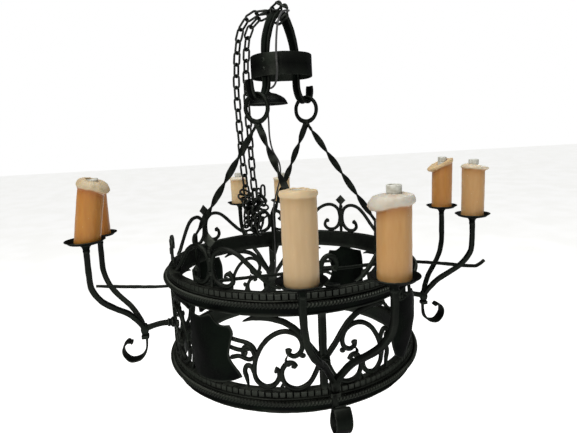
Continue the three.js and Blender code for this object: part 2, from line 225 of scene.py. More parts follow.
def rounded_rect(width: float, depth: float, bevel: float) -> Outline:
    """Section of a flat bar with eased corners, centred on its line.

    Args:
        width: The bar's width.
        depth: Its thickness.
        bevel: How much of each corner is eased.

    Returns:
        The section's points, in order.
    """
    a, b = width / 2, depth / 2
    quarter = [(a, b - bevel), (a - 0.3 * bevel, b - 0.3 * bevel), (a - bevel, b)]
    upper = quarter + [(-x, y) for x, y in reversed(quarter)]
    return upper + [(x, -y) for x, y in reversed(upper)]


def crowned(width: float, depth: float) -> Outline:
    """Section of a scroll bar: flat behind, rounded in front, standing on depth 0.

    Args:
        width: The bar's width.
        depth: Its thickness.

    Returns:
        The section's points, in order.
    """
    half = [(0.40, 0.0), (0.5, 0.16), (0.49, 0.5), (0.38, 0.82), (0.16, 1.0)]
    right = [(x * width, y * depth) for x, y in half]
    return right + [(-x, y) for x, y in reversed(right)]


def circle(radius: float, sides: int) -> Outline:
    """Section of a round bar."""
    turns = [2 * math.pi * i / sides for i in range(sides)]
    return [(radius * math.cos(a), radius * math.sin(a)) for a in turns]


def end_width(end: End, distance: float, width: float) -> float:
    """How much wider or narrower a bar is near its end.

    Args:
        end: The kind of end.
        distance: How far the point is from the end.
        width: The bar's own width.

    Returns:
        A factor on the width.
    """
    if end is End.POINT:
        return min(1.0, 0.22 + 0.78 * distance / (2.2 * width))
    if end is End.FISHTAIL:
        near = max(0.0, 1 - distance / (1.5 * width))
        rounded = min(1.0, 0.4 + distance / (0.3 * width))
        waist = math.sin(math.pi * min(1.0, distance / (2.6 * width)))
        return (1 + 0.6 * near**1.2 - 0.12 * waist) * rounded
    return min(1.0, 0.8 + distance / width)


def heading(azimuth: float) -> Vector:
    """Level direction at an azimuth: 0 is the front, a quarter turn is the right."""
    return Vector((math.sin(azimuth), -math.cos(azimuth), 0))


def facing(place: Vector, outward: Vector) -> Matrix:
    """Turns the upright axis of a turned piece to a direction, at a place."""
    return Matrix.Translation(place) @ outward.to_track_quat("Z", "Y").to_matrix().to_4x4()


# ---------------------------------------------------------------- mesh making


class MeshDraft:
    """Collects the faces of one piece."""

    def __init__(self) -> None:
        """Starts an empty piece."""
        self.points: list[Vector] = []
        self.faces: list[tuple[int, ...]] = []
        self.marks: dict[str, list[float]] = {}

    def add_grid(self, rows: Sequence[Sequence[Vector]], closed: bool = False) -> None:
        """Joins rows of points into a skin. Each row closes on itself.

        Args:
            rows: Rows with the same number of points.
            closed: Whether the last row joins the first; otherwise both ends are filled.
        """
        start, count = len(self.points), len(rows[0])
        for row in rows:
            self.points.extend(row)
        for i in range(len(rows) if closed else len(rows) - 1):
            a, b = start + i * count, start + ((i + 1) % len(rows)) * count
            for j in range(count):
                k = (j + 1) % count
                self.faces.append((a + j, a + k, b + k, b + j))
        if not closed:
            for first in (start, start + (len(rows) - 1) * count):
                ring = self.points[first : first + count]
                self.points.append(sum(ring, Vector()) / count)
                hub = len(self.points) - 1
                self.faces.extend((first + j, first + (j + 1) % count, hub) for j in range(count))

    def add_plate(self, front: Sequence[Sequence[Vector]], back: Sequence[Sequence[Vector]]) -> None:
        """Makes a closed sheet.

        Args:
            front: Grid of its front face.
            back: Grid of its back face, with as many points.
        """
        rows = [list(f) + list(reversed(b)) for f, b in zip(front, back)]
        start, count, half = len(self.points), len(rows[0]), len(front[0])
        for row in rows:
            self.points.extend(row)
        for i in range(len(rows) - 1):
            a, b = start + i * count, start + (i + 1) * count
            for j in range(count):
                k = (j + 1) % count
                self.faces.append((a + j, a + k, b + k, b + j))
        for first in (start, start + (len(rows) - 1) * count):
            last = first + count - 1
            self.faces.extend(
                (first + j, first + j + 1, last - 1 - j, last - j) for j in range(half - 1)
            )

    def add_bar(
        self,
        points: Points,
        section: Sequence[tuple[float, float]],
        place: Place,
        ends: tuple[End, End] = (End.CUT, End.CUT),
        step: float = 2.5,
        spread: Optional[Callable[[float], float]] = None,
        thin: Optional[Callable[[float], float]] = None,
    ) -> None:
        """Bends a bar along a flat line and sets it in place.

        Args:
            points: The flat line.
            section: The bar's section, as in-plane width and depth.
            place: Turns flat width, height and depth into a point.
            ends: How both ends are finished.
            step: The distance between rings of points.
            spread: Factor on the depth, from 0 to 1 along the bar.
            thin: Factor on the in-plane width along the bar.
        """
        line = smooth_line(points, step)
        width = max(x for x, _ in section) * 2
        total = line_length(line)
        rows = []
        for i, p in enumerate(line):
            t = tangent_at(line, i)
            along = total * i / (len(line) - 1)
            wide = end_width(ends[0], along, width) * end_width(ends[1], total - along, width)
            wide *= thin(along / total) if thin else 1.0
            deep = spread(along / total) if spread else 1.0
            rows.append(
                [place(p.x - t.y * a * wide, p.y + t.x * a * wide, b * deep) for a, b in section]
            )
        self.add_grid(rows)

    def add_rod(
        self,
        line: Sequence[Vector],
        section: Sequence[tuple[float, float]],
        side: Vector,
        twist: Optional[Callable[[float], float]] = None,
        scale: Optional[Callable[[float], float]] = None,
        closed: bool = False,
    ) -> None:
        """Sweeps a section along a line in space.

        Args:
            line: The middle line.
            section: The section's points.
            side: A direction that the section's first axis starts near.
            twist: Turn of the section in radians, from 0 to 1 along the line.
            scale: Factor on the section along the line.
            closed: Whether the line closes on itself.
        """
        rows = []
        across = side.copy()
        count = len(line)
        for i, p in enumerate(line):
            if closed:
                t = (line[(i + 1) % count] - line[i - 1]).normalized()
            else:
                t = tangent_at(line, i)
            across = (across - t * across.dot(t)).normalized()
            other = t.cross(across)
            share = i / (count - 1)
            turn = twist(share) if twist else 0.0
            size = scale(share) if scale else 1.0
            c, s = math.cos(turn) * size, math.sin(turn) * size
            rows.append([p + across * (a * c - b * s) + other * (a * s + b * c) for a, b in section])
        self.add_grid(rows, closed=closed)

    def add_turned(
        self, profile: Points, steps: int, placed: Matrix = Matrix.Identity(4), closed: bool = False
    ) -> None:
        """Turns a profile of radius and height round an axis.

        Args:
            profile: Radius and height pairs, in order.
            steps: Number of steps round.
            placed: Where the axis stands.
            closed: Whether the profile closes on itself, as a ring's does.
        """
        rows = []
        for r, z in profile:
            turns = [2 * math.pi * i / steps for i in range(steps)]
            rows.append([placed @ Vector((r * math.cos(a), r * math.sin(a), z)) for a in turns])
        self.add_grid(rows, closed=closed)

    def roughen(self, amount: float, size: float, start: int = 0) -> None:
        """Moves the points a little, as hammer blows leave them.

        Args:
            amount: The largest move.
            size: The width of one dent.
            start: The first point that moves.
        """
        for p in self.points[start:]:
            p += noise.noise_vector(p / size) * amount

    def build(self, name: str, finish: bpy.types.Material, sharp: float = 38.0) -> bpy.types.Object:
        """Makes the Blender object.

        Args:
            name: The piece's name.
            finish: Its material.
            sharp: Edges that turn by more than this many degrees stay crisp.

        Returns:
            The object, at the origin, in metres.
        """
        mesh = bpy.data.meshes.new(name)
        mesh.from_pydata([p * MM for p in self.points], [], self.faces)
        work = bmesh.new()
        work.from_mesh(mesh)
        bmesh.ops.recalc_face_normals(work, faces=work.faces)
        work.to_mesh(mesh)
        work.free()
        for label, values in self.marks.items():
            mark = mesh.attributes.new(label, "FLOAT", "POINT")
            mark.data.foreach_set("value", values)
        mesh.polygons.foreach_set("use_smooth", [True] * len(mesh.polygons))
        mesh.set_sharp_from_angle(angle=math.radians(sharp))
        mesh.materials.append(finish)
        piece = bpy.data.objects.new(name, mesh)
        bpy.context.scene.collection.objects.link(piece)
        return piece


def settle(piece: bpy.types.Object, body: str, node: str) -> None:
    """Rides a piece on its body and hides the CAD node that it stands for.

    Args:
        piece: The finished object.
        body: Name of the body that it moves with.
        node: The CAD node that it replaces.
    """
    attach(piece, body)
    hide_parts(node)
    LOG.info("%s: %d faces, for %s", piece.name, len(piece.data.polygons), node)


def forge(
    draft: MeshDraft,
    name: str,
    iron: bpy.types.Material,
    node: str,
    sharp: float = 38.0,
    body: Body = Body.RING,
) -> None:
    """Finishes an iron piece.

    Args:
        draft: Its points and faces.
        name: The piece's name.
        iron: Its material.
        node: The CAD node that it replaces.
        sharp: Edges that turn by more than this many degrees stay crisp.
        body: The body that it moves with.
    """
    settle(draft.build(name, iron, sharp), body.value, node)


# ---------------------------------------------------------------- finishes


def linear(hex_colour: str) -> tuple[float, float, float, float]:
    """Turns an sRGB colour into linear light.

    Args:
        hex_colour: The colour as #rrggbb.

    Returns:
        Red, green, blue and an alpha of 1.
    """
    parts = [int(hex_colour[i : i + 2], 16) / 255 for i in (1, 3, 5)]
    light = [c / 12.92 if c <= 0.04045 else ((c + 0.055) / 1.055) ** 2.4 for c in parts]
    return (*light, 1.0)


def per_mm(size: float) -> float:
    """Texture scale that gives a pattern of this size in millimetres."""
    return 1.0 / (size * MM)


def add_node(
    tree: bpy.types.NodeTree,
    kind: str,
    settings: Optional[dict] = None,
    inputs: Optional[dict] = None,
    stops: Sequence[tuple[float, tuple]] = (),
) -> bpy.types.Node:
    """Adds a node with its settings and links.

    Args:
        tree: The material's tree.
        kind: Blender's name for the node, after its first two words.
        settings: Values of the node's own properties.
        inputs: Values or sockets, by input name or number.
        stops: Positions and colours of a colour ramp.

    Returns:
        The node.
    """
    made = tree.nodes.new("ShaderNode" + kind)
    for key, value in (settings or {}).items():
        setattr(made, key, value)
    for key, value in (inputs or {}).items():
        if isinstance(value, bpy.types.NodeSocket):
            tree.links.new(value, made.inputs[key])
        else:
            made.inputs[key].default_value = value
    for i, (position, colour) in enumerate(stops):
        ramp = made.color_ramp.elements
        stop = ramp[i] if i < 2 else ramp.new(position)
        stop.position, stop.color = position, colour
    return made


@dataclass(frozen=True)
class Finish:
    """Base of the finishes: makes the material and its output."""

    name: str

    def start(self) -> tuple[bpy.types.Material, NodeAdder, bpy.types.NodeSocket]:
        """Makes an empty material.

        Returns:
            The material, what adds nodes to it, and its object coordinates.
        """
        material = bpy.data.materials.new(self.name)
        material.use_nodes = True
        tree = material.node_tree
        tree.nodes.clear()
        node = partial(add_node, tree)
        return material, node, node("TexCoord").outputs["Object"]

    def end(self, node: NodeAdder, shader: dict) -> None:
        """Adds the shader with its inputs and joins it to the output."""
        surface = node("BsdfPrincipled", inputs=shader)
        node("OutputMaterial", inputs={"Surface": surface.outputs[0]})


@dataclass(frozen=True)
class WroughtIron(Finish):
    """Forged iron under thin black-green lacquer.

    The eye sees near-black with a green cast, soft hammer facets that catch the light, grey on high
    edges that is part metal bared by wear and part painted highlight, and a pale layer on what faces up
    that is part dusting and part painted top light.
    """

    deep: str = "#070808"
    green: str = "#0c110d"
    worn_and_highlight: str = "#5e625b"
    dust_and_top_light: str = "#7d7f74"
    # dusty sets the pale layer on up-facing faces: part dusting, part painted top light.
    dusty: float = 0.07
    rim: str = "#7d827d"  # lacquer holds back the bright rim that bare metal has
    facet_mm: float = 7.0
    grain_mm: float = 1.1  # real scale is finer; coarser here so that it shows

    def build(self) -> bpy.types.Material:
        """Returns the material."""
        material, node, place = self.start()
        broad = node("TexNoise", inputs={"Vector": place, "Scale": per_mm(55), "Detail": 4.0})
        facets = node(
            "TexVoronoi", {"feature": "SMOOTH_F1"},
            {"Vector": place, "Scale": per_mm(self.facet_mm), "Smoothness": 0.7},
        )
        grain = node("TexNoise", inputs={"Vector": place, "Scale": per_mm(self.grain_mm), "Detail": 3.0})
        mottled = node(
            "ValToRGB", inputs={"Fac": broad.outputs["Fac"]},
            stops=[(0.4, linear(self.deep)), (0.62, linear(self.green))],
        )
        geometry = node("NewGeometry")
        # Grey on high edges by pointiness: part metal bared by wear, part painted highlight.
        edge = node(
            "MapRange",
            inputs={
                "Value": geometry.outputs["Pointiness"], "From Min": 0.515, "From Max": 0.6,
                "To Max": 0.5,
            },
        )
        worn_and_highlit = node("Math", {"operation": "MULTIPLY"}, {0: edge.outputs[0], 1: grain.outputs["Fac"]})
        metal = node(
            "Mix", {"data_type": "RGBA"},
            {"Factor": worn_and_highlit.outputs[0], 6: mottled.outputs[0], 7: linear(self.worn_and_highlight)},
        )
        # Pale layer on what faces up: part dusting, part painted top light.
        normal = node("SeparateXYZ", inputs={0: geometry.outputs["Normal"]})
        facing_up = node(
            "MapRange",
            inputs={
                "Value": normal.outputs["Z"], "From Min": 0.45, "From Max": 1.0, "To Max": self.dusty,
            },
        )
        settled_dust_and_top_light = node(
            "Math", {"operation": "MULTIPLY"}, {0: facing_up.outputs[0], 1: broad.outputs["Fac"]},
        )
        colour = node(
            "Mix", {"data_type": "RGBA"},
            {"Factor": settled_dust_and_top_light.outputs[0], 6: metal.outputs[2], 7: linear(self.dust_and_top_light)},
        )
        rough = node(
            "MapRange",
            inputs={
                "Value": broad.outputs["Fac"], "From Min": 0.3, "From Max": 0.7, "To Min": 0.34,
                "To Max": 0.56,
            },
        )
        dents = node(
            "Bump",
            inputs={"Height": facets.outputs["Distance"], "Strength": 0.35, "Distance": 0.9 * MM},
        )
        skin = node(
            "Bump",
            inputs={
                "Height": grain.outputs["Fac"], "Strength": 0.3, "Distance": 0.25 * MM,
                "Normal": dents.outputs[0],
            },
        )
        self.end(
            node,
            {
                "Base Color": colour.outputs[2], "Metallic": 0.9, "Specular Tint": linear(self.rim),
                "Roughness": rough.outputs[0], "Normal": skin.outputs[0],
            },
        )
        return material


@dataclass(frozen=True)
class CandleWax(Finish):
    """Wax-look resin sleeve, cast and dripped by hand.

    The eye sees light that goes a little way in, a darker, warmer band under the melted top that is
    painted shade, a whitish translucent top, faint runs down the side and a few pale flecks.
    """

    body: str = "#c9a06a"
    warm: str = "#b5722f"
    melted: str = "#dcd6c6"
    foot: str = "#b89468"

    def build(self) -> bpy.types.Material:
        """Returns the material. The marks melt, under and foot are laid on the mesh."""
        material, node, place = self.start()
        marks = {
            label: node("Attribute", {"attribute_name": label}).outputs["Fac"]
            for label in ("melt", "under", "foot")
        }
        upright = node("Mapping", inputs={"Vector": place, "Scale": (1.0, 1.0, 0.16)})
        runs = node("TexNoise", inputs={"Vector": upright.outputs[0], "Scale": per_mm(9), "Detail": 3.0})
        cloud = node("TexNoise", inputs={"Vector": place, "Scale": per_mm(26), "Detail": 3.0})
        fleck = node("TexVoronoi", inputs={"Vector": place, "Scale": per_mm(15)})
        tone = node(
            "MapRange",
            inputs={"Value": runs.outputs["Fac"], "From Min": 0.35, "From Max": 0.7, "To Max": 0.28},
        )
        body = node(
            "Mix", {"data_type": "RGBA"},
            {"Factor": tone.outputs[0], 6: linear(self.body), 7: linear(self.warm)},
        )
        spots = node(
            "MapRange",
            inputs={
                "Value": fleck.outputs["Distance"], "From Min": 0.1, "From Max": 0.02, "To Max": 0.45,
            },
        )
        flecked = node(
            "Mix", {"data_type": "RGBA"},
            {"Factor": spots.outputs[0], 6: body.outputs[2], 7: linear(self.melted)},
        )
        layers = flecked.outputs[2]
        # under: painted shade, darker and warmer under the melted flange and inside the bore.
        for label, colour in (("under", self.warm), ("foot", self.foot), ("melt", self.melted)):
            mottle = node(
                "MapRange",
                inputs={
                    "Value": cloud.outputs["Fac"], "From Min": 0.25, "From Max": 0.5, "To Min": 0.65,
                },
            )
            amount = node("Math", {"operation": "MULTIPLY"}, {0: marks[label], 1: mottle.outputs[0]})
            layers = node(
                "Mix", {"data_type": "RGBA"},
                {"Factor": amount.outputs[0], 6: layers, 7: linear(colour)},
            ).outputs[2]
        bump = node(
            "Bump", inputs={"Height": runs.outputs["Fac"], "Strength": 0.3, "Distance": 0.8 * MM},
        )
        self.end(
            node,
            {
                "Base Color": layers, "Roughness": 0.42, "IOR": 1.44, "Subsurface Weight": 0.3,
                "Subsurface Radius": (1.0, 0.5, 0.22), "Subsurface Scale": 5 * MM,
                "Normal": bump.outputs[0],
            },
        )
        return material


@dataclass(frozen=True)
class Bakelite(Finish):
    """Moulded lamp holder, thermoset plastic gone slightly yellow.

    The eye sees a flat light grey with faint grime and hardly any shine.
    """

    fresh: str = "#bdbeb6"
    grimy: str = "#8f8b7c"

    def build(self) -> bpy.types.Material:
        """Returns the material."""
        material, node, place = self.start()
        grime = node("TexNoise", inputs={"Vector": place, "Scale": per_mm(8), "Detail": 5.0})
        colour = node(
            "ValToRGB", inputs={"Fac": grime.outputs["Fac"]},
            stops=[(0.42, linear(self.fresh)), (0.75, linear(self.grimy))],
        )
        bump = node(
            "Bump", inputs={"Height": grime.outputs["Fac"], "Strength": 0.15, "Distance": 0.3 * MM},
        )
        self.end(
            node,
            {"Base Color": colour.outputs[0], "Roughness": 0.5, "IOR": 1.55, "Normal": bump.outputs[0]},
        )
        return material


@dataclass(frozen=True)
class FlexSheath(Finish):
    """Black vinyl flex with a dusty, half-matt skin."""

    black: str = "#141414"
    dusty: str = "#3a3a38"

    def build(self) -> bpy.types.Material:
        """Returns the material."""
        material, node, place = self.start()
        dirt = node("TexNoise", inputs={"Vector": place, "Scale": per_mm(12), "Detail": 4.0})
        colour = node(
            "ValToRGB", inputs={"Fac": dirt.outputs["Fac"]},
            stops=[(0.45, linear(self.black)), (0.8, linear(self.dusty))],
        )
        self.end(node, {"Base Color": colour.outputs[0], "Roughness": 0.55, "IOR": 1.53})
        return material


@dataclass(frozen=True)
class StudioPaper(Finish):
    """Seamless white paper under the object, with a faint fibre tone."""

    white: str = "#f6f6f5"
    fibre: str = "#f2f2f0"
    overlit: float = 0.68  # light that the paper gives back from lamps below and behind it

    def build(self) -> bpy.types.Material:
        """Returns the material."""
        material, node, place = self.start()
        tone = node("TexNoise", inputs={"Vector": place, "Scale": per_mm(400), "Detail": 2.0})
        colour = node(
            "ValToRGB", inputs={"Fac": tone.outputs["Fac"]},
            stops=[(0.4, linear(self.white)), (0.6, linear(self.fibre))],
        )
        self.end(
            node,
            {
                "Base Color": colour.outputs[0], "Roughness": 0.9, "Emission Color": colour.outputs[0],
                "Emission Strength": self.overlit,
            },
        )
        return material


# ---------------------------------------------------------------- the ring


ARMS: dict[str, float] = {"front": 0.0, "right": math.pi / 2, "back": math.pi, "left": -math.pi / 2}
SHIELD_TURN = math.pi / 4
ACROSS_HOOKS = Vector((math.cos(math.pi / 4), -math.sin(math.pi / 4), 0))
ALONG_HINGE = Vector((math.sin(math.pi / 4), math.cos(math.pi / 4), 0))
HOOKS_AZIMUTH = math.radians(-45)
UP = Vector((0, 0, 1))
CREST_PLACE_R, CREST_REF_R = 307.0, 315.0
FRET_PLACE_R, FRET_REF_R = 314.0, 330.0


@dataclass
class Hoop:
    """One folded sheet hoop with its ledge, dentils and bead, and the twisted rope round it."""

    level: str
    iron: bpy.types.Material
    inner_r: float = 301.0
    ledge_r: float = 317.0
    face_r: float = 322.0
    above: float = 22.0
    below: float = 27.0
    steps: int = 200
    dentils: int = 132
    rope_r: float = 331.6
    rope_wire_r: float = 6.2
    rope_lobes: int = 3
    rope_ridge: float = 7.6  # distance between two strands along the rope
    rope_steps: int = 1500
    dentil_fill: float = 0.86  # a block's share of its pitch
    dentil_rows: Points = ((0.0, 1.0, 9.2, 20.8), (5.2, 1.0, 9.2, 20.8), (6.4, 0.86, 9.41, 20.1))

    def rope_z(self) -> float:
        """Height of the rope's middle."""
        low, high = box_mm(self.level + "_rope")
        return (low.z + high.z) / 2

    def profile(self) -> Outline:
        """Section of the folded hoop.

        Returns:
            Radius and height pairs, round from the inner foot.
        """
        top, low = self.above, -self.below
        return [
            (self.inner_r, low), (self.inner_r - 0.4, low + 14), (self.inner_r, top - 1),
            (self.inner_r + 1, top), (self.ledge_r - 2, top + 0.3), (self.ledge_r, top - 0.8),
            (self.ledge_r + 0.3, top - 3), (self.ledge_r + 0.5, 9), (self.face_r + 1, 9),
            (self.face_r + 4.5, 8.2), (self.face_r + 5.2, 6.6), (self.face_r + 4.2, 5.2),
            (self.face_r + 1.4, 4.4), (self.face_r + 4.6, 2.5), (self.face_r + 4.6, -3.5),
            (self.face_r + 1, -6), (self.face_r - 0.6, low + 6), (self.face_r + 1.2, low + 3),
            (self.face_r + 1.2, low), (self.face_r - 2.2, low), (self.face_r - 4.5, 0),
            (self.ledge_r - 3, top - 4), (self.inner_r + 3.4, top - 3.4), (self.inner_r + 3, low),
        ]

    def add_dentils(self, draft: MeshDraft, base_z: float) -> None:
        """Sets the row of small blocks under the ledge.

        Args:
            draft: The hoop's draft.
            base_z: Height that the blocks' heights count from.
        """
        half = math.pi / self.dentils * self.dentil_fill
        for i in range(self.dentils):
            middle = 2 * math.pi * i / self.dentils
            rows = []
            for out, ease, low, high in self.dentil_rows:
                a = half * ease
                spots = ((-a, low), (a, low), (a, high), (-a, high))
                r = self.ledge_r + out
                rows.append([heading(middle + a) * r + UP * (base_z + z) for a, z in spots])
            draft.add_grid(rows)

    def band(self) -> MeshDraft:
        """Draws the folded hoop.

        Returns:
            The hoop's draft.
        """
        draft = MeshDraft()
        base = self.rope_z() + 1
        draft.add_turned([(r, base + z) for r, z in self.profile()], self.steps, closed=True)
        draft.roughen(0.9, 38)
        self.add_dentils(draft, base)
        draft.roughen(0.35, 9)
        return draft

    def rope(self) -> MeshDraft:
        """Draws the twisted moulding.

        Returns:
            The moulding's draft.
        """
        draft = MeshDraft()
        around = 2 * math.pi * self.rope_r
        turns = round(around / (self.rope_ridge * self.rope_lobes))
        sides, z0 = 4 * self.rope_lobes, self.rope_z()
        rows = []
        for i in range(self.rope_steps):
            at = 2 * math.pi * i / self.rope_steps
            rows.append([])
            for k in range(sides):
                a = 2 * math.pi * k / sides
                size = self.rope_wire_r * (0.84 + 0.16 * math.cos(self.rope_lobes * a))
                r = self.rope_r + size * math.cos(a + turns * at)
                z = z0 + size * math.sin(a + turns * at)
                rows[-1].append(Vector((r * math.sin(at), -r * math.cos(at), z)))
        draft.add_grid(rows, closed=True)
        return draft

    def make(self) -> None:
        """Builds and dresses the hoop and its rope."""
        forge(self.band(), self.level + "_hoop", self.iron, self.level + "_band", 30)
        forge(self.rope(), self.level + "_rope_moulding", self.iron, self.level + "_rope", 70)


@dataclass
class Fretwork:
    """Scroll panels between the hoops: an arch, two scrolls and curls each side of a centre bar."""

    iron: bpy.types.Material
    width: float = 11.0
    arch_width: float = 14.0
    depth: float = 8.0
    top: float = -27.3
    low: float = -197.7
    hub_z: float = -133.0
    arch: Points = (
        (6, -128), (24, -106), (47, -74), (64, -55), (88, -40), (120, -32.5), (150, -33), (176, -42),
    )
    large: Points = (
        (76, -101), (76, -113), (64, -119), (50, -110), (46, -92), (55, -73), (76, -63), (98, -65),
        (120, -78), (139, -100), (153, -130), (157, -160), (149, -179), (131, -189), (112, -184),
        (101, -169), (101, -153), (110, -149),
    )
    small: Points = (
        (64, -145), (68, -135), (80, -134), (91, -146), (94, -162), (88, -180), (74, -191), (55, -193),
        (34, -183), (21, -165), (10, -142),
    )
    upper_curl: Points = ((153, -128), (157, -110), (167, -99), (179, -103), (181, -114), (172, -118))
    lower_curl: Points = ((157, -160), (163, -146), (174, -144), (180, -156), (176, -172), (172, -193))
    leaf: Points = ((79, -137), (84, -128), (80, -119))
    spur: Points = ((88, -180), (97, -190), (99, -197))
    post_width: float = 18.5
    welds: Points = ((46, -118), (-46, -118), (79, -136), (-79, -136), (97, -170), (-97, -170))
    weld_rings: Points = ((6.6, 1.0), (7.6, 4.0), (6.0, 7.4), (2.6, 8.8))
    boss: Points = ((15, -0.5), (15.5, 3), (14, 8), (12.5, 9), (12.5, 11), (9, 12.5), (8, 12.5))

    def panel(self, azimuth: float, base_z: float) -> MeshDraft:
        """Draws the panel in front of one arm.

        Args:
            azimuth: The arm's azimuth.
            base_z: Height that the panel's heights count from.

        Returns:
            The panel's draft.
        """
        draft = MeshDraft()
        place = DrumFace(FRET_PLACE_R, FRET_REF_R, azimuth, base_z)
        bar = crowned(self.width, self.depth)
        wide = crowned(self.arch_width, self.depth)
        lines = (
            (self.arch, (End.CUT, End.POINT)), (self.large, (End.FISHTAIL, End.FISHTAIL)),
            (self.small, (End.FISHTAIL, End.CUT)), (self.upper_curl, (End.CUT, End.FISHTAIL)),
            (self.lower_curl, (End.CUT, End.POINT)), (self.leaf, (End.CUT, End.POINT)),
            (self.spur, (End.CUT, End.POINT)),
        )
        for line, ends in lines:
            section = wide if line is self.arch else bar
            draft.add_bar(line, section, place, ends)
            draft.add_bar(mirrored(line), section, place, ends)
        post = crowned(self.post_width, self.depth + 1)
        draft.add_bar(((0, self.top + 2), (0, -70), (0, self.hub_z + 8)), post, place, step=6)
        foot = crowned(self.post_width, self.depth)
        draft.add_bar(((0, self.hub_z - 6), (0, -170), (0, self.low - 1)), foot, place, step=6)
        for s, z in self.welds:
            self.add_weld(draft, place, s, z)
        outward = place(0, 0, 0) - place(0, 0, -1)
        draft.add_turned(self.boss, 28, facing(place(0, self.hub_z, 0), outward))
        draft.roughen(0.5, 16)
        return draft

    def add_weld(self, draft: MeshDraft, place: Place, s: float, z: float) -> None:
        """Puts the small lump of a forge weld where two bars touch.

        Args:
            draft: The panel's draft.
            place: Bends a flat point on the ring.
            s: Where the lump sits, round the ring.
            z: Its height.
        """
        rows = []
        for ring, depth in self.weld_rings:
            turns = [2 * math.pi * k / 10 for k in range(10)]
            rows.append(
                [place(s + ring * math.cos(a), z + 0.8 * ring * math.sin(a), depth) for a in turns]
            )
        draft.add_grid(rows)

    def make(self) -> None:
        """Builds and dresses the four panels."""
        base_z = box_mm("fretwork_front")[1].z - self.top
        for name, azimuth in ARMS.items():
            forge(self.panel(azimuth, base_z), "fretwork_panel_" + name, self.iron, "fretwork_" + name)


@dataclass
class Shield:
    """Bowed sheet shields with a slanting crease and strapwork to one side."""

    iron: bpy.types.Material
    front_r: float = 342.0
    bow_r: float = 120.0
    sheet: float = 3.0
    top: Points = ((-64, -38), (-34, -40), (-8, -35), (10, -28), (22, -41), (36, -50), (54, -50))
    right: Points = ((60, -180), (57, -164), (48, -140), (46, -118), (52, -92), (58, -70), (54, -50))
    low: Points = ((-60, -172), (-40, -186), (0, -192), (40, -188), (60, -180))
    left: Points = ((-60, -172), (-69, -140), (-72, -100), (-70, -64), (-64, -38))
    crease: Points = ((50, -54), (-34, -172))
    fold: float = 0.27
    dome: float = 3.5  # how far the middle bellies out, over dome_tall from dome_from up
    dome_from: float = -192.0
    dome_tall: float = 150.0
    straps: Sequence[Points] = (
        ((44, -84), (66, -87), (88, -91), (104, -100), (111, -112)),
        ((46, -130), (68, -124), (92, -129), (108, -119), (111, -108)),
        ((44, -106), (72, -109), (103, -105)),
    )
    columns: int = 34
    rows: int = 40

    def bowed(self, x: float, z: float, back: float) -> Vector:
        """Puts a flat point on the bowed and creased sheet, in front of azimuth 0.

        Args:
            x: How far to the right it is.
            z: Its height.
            back: How far behind the sheet's face.

        Returns:
            The point.
        """
        (x0, z0), (x1, z1) = self.crease
        along = Vector((x1 - x0, z1 - z0)).normalized()
        aside = (x - x0) * along.y - (z - z0) * along.x
        inward = self.fold * max(0.0, -aside)
        bow = math.sqrt(self.bow_r**2 - x * x)
        share = min(1.0, max(0.0, (z - self.dome_from) / self.dome_tall))
        dome = self.dome * math.sin(math.pi * share)
        return Vector((x, -(self.front_r - self.bow_r + bow - inward + dome - self.dome - back), z))

    def grid(self, back: float, placed: Matrix) -> list[list[Vector]]:
        """Fills one face of the sheet in between its four edges.

        Args:
            back: How far the face is behind the sheet's front.
            placed: Where the shield stands.

        Returns:
            Rows of points, from the lower edge up.
        """
        edges = [even_steps(smooth_line(e, 2), 1) for e in (self.top, self.low, self.left, self.right)]
        top, low, left, right = edges
        made = []
        for i in range(self.rows + 1):
            v = i / self.rows
            made.append([])
            for j in range(self.columns + 1):
                u = j / self.columns
                sides = point_at(left, v).lerp(point_at(right, v), u)
                ends = point_at(low, u).lerp(point_at(top, u), v)
                corners = low[0].lerp(low[-1], u).lerp(top[0].lerp(top[-1], u), v)
                flat = sides + ends - corners
                made[-1].append(placed @ self.bowed(flat.x, flat.y, back))
        return made

    def plate(self, azimuth: float, base_z: float) -> MeshDraft:
        """Draws one shield with its straps.

        Args:
            azimuth: Which way it faces.
            base_z: Height that its heights count from.

        Returns:
            The shield's draft.
        """
        draft = MeshDraft()
        placed = Matrix.Translation((0, 0, base_z)) @ Matrix.Rotation(azimuth, 4, "Z")
        draft.add_plate(self.grid(0, placed), self.grid(self.sheet, placed))
        drum = DrumFace(FRET_PLACE_R + 1, FRET_REF_R, azimuth, base_z)
        for strap in self.straps:
            draft.add_bar(strap, crowned(10, 6.5), drum, (End.CUT, End.POINT))
        draft.roughen(1.0, 26)
        return draft

    def make(self) -> None:
        """Builds and dresses the four shields."""
        base_z = box_mm("fretwork_front")[1].z - Fretwork.top
        for name, azimuth in ARMS.items():
            plate = self.plate(azimuth + SHIELD_TURN, base_z)
            forge(plate, "shield_plate_" + name, self.iron, "shield_" + name, 26)


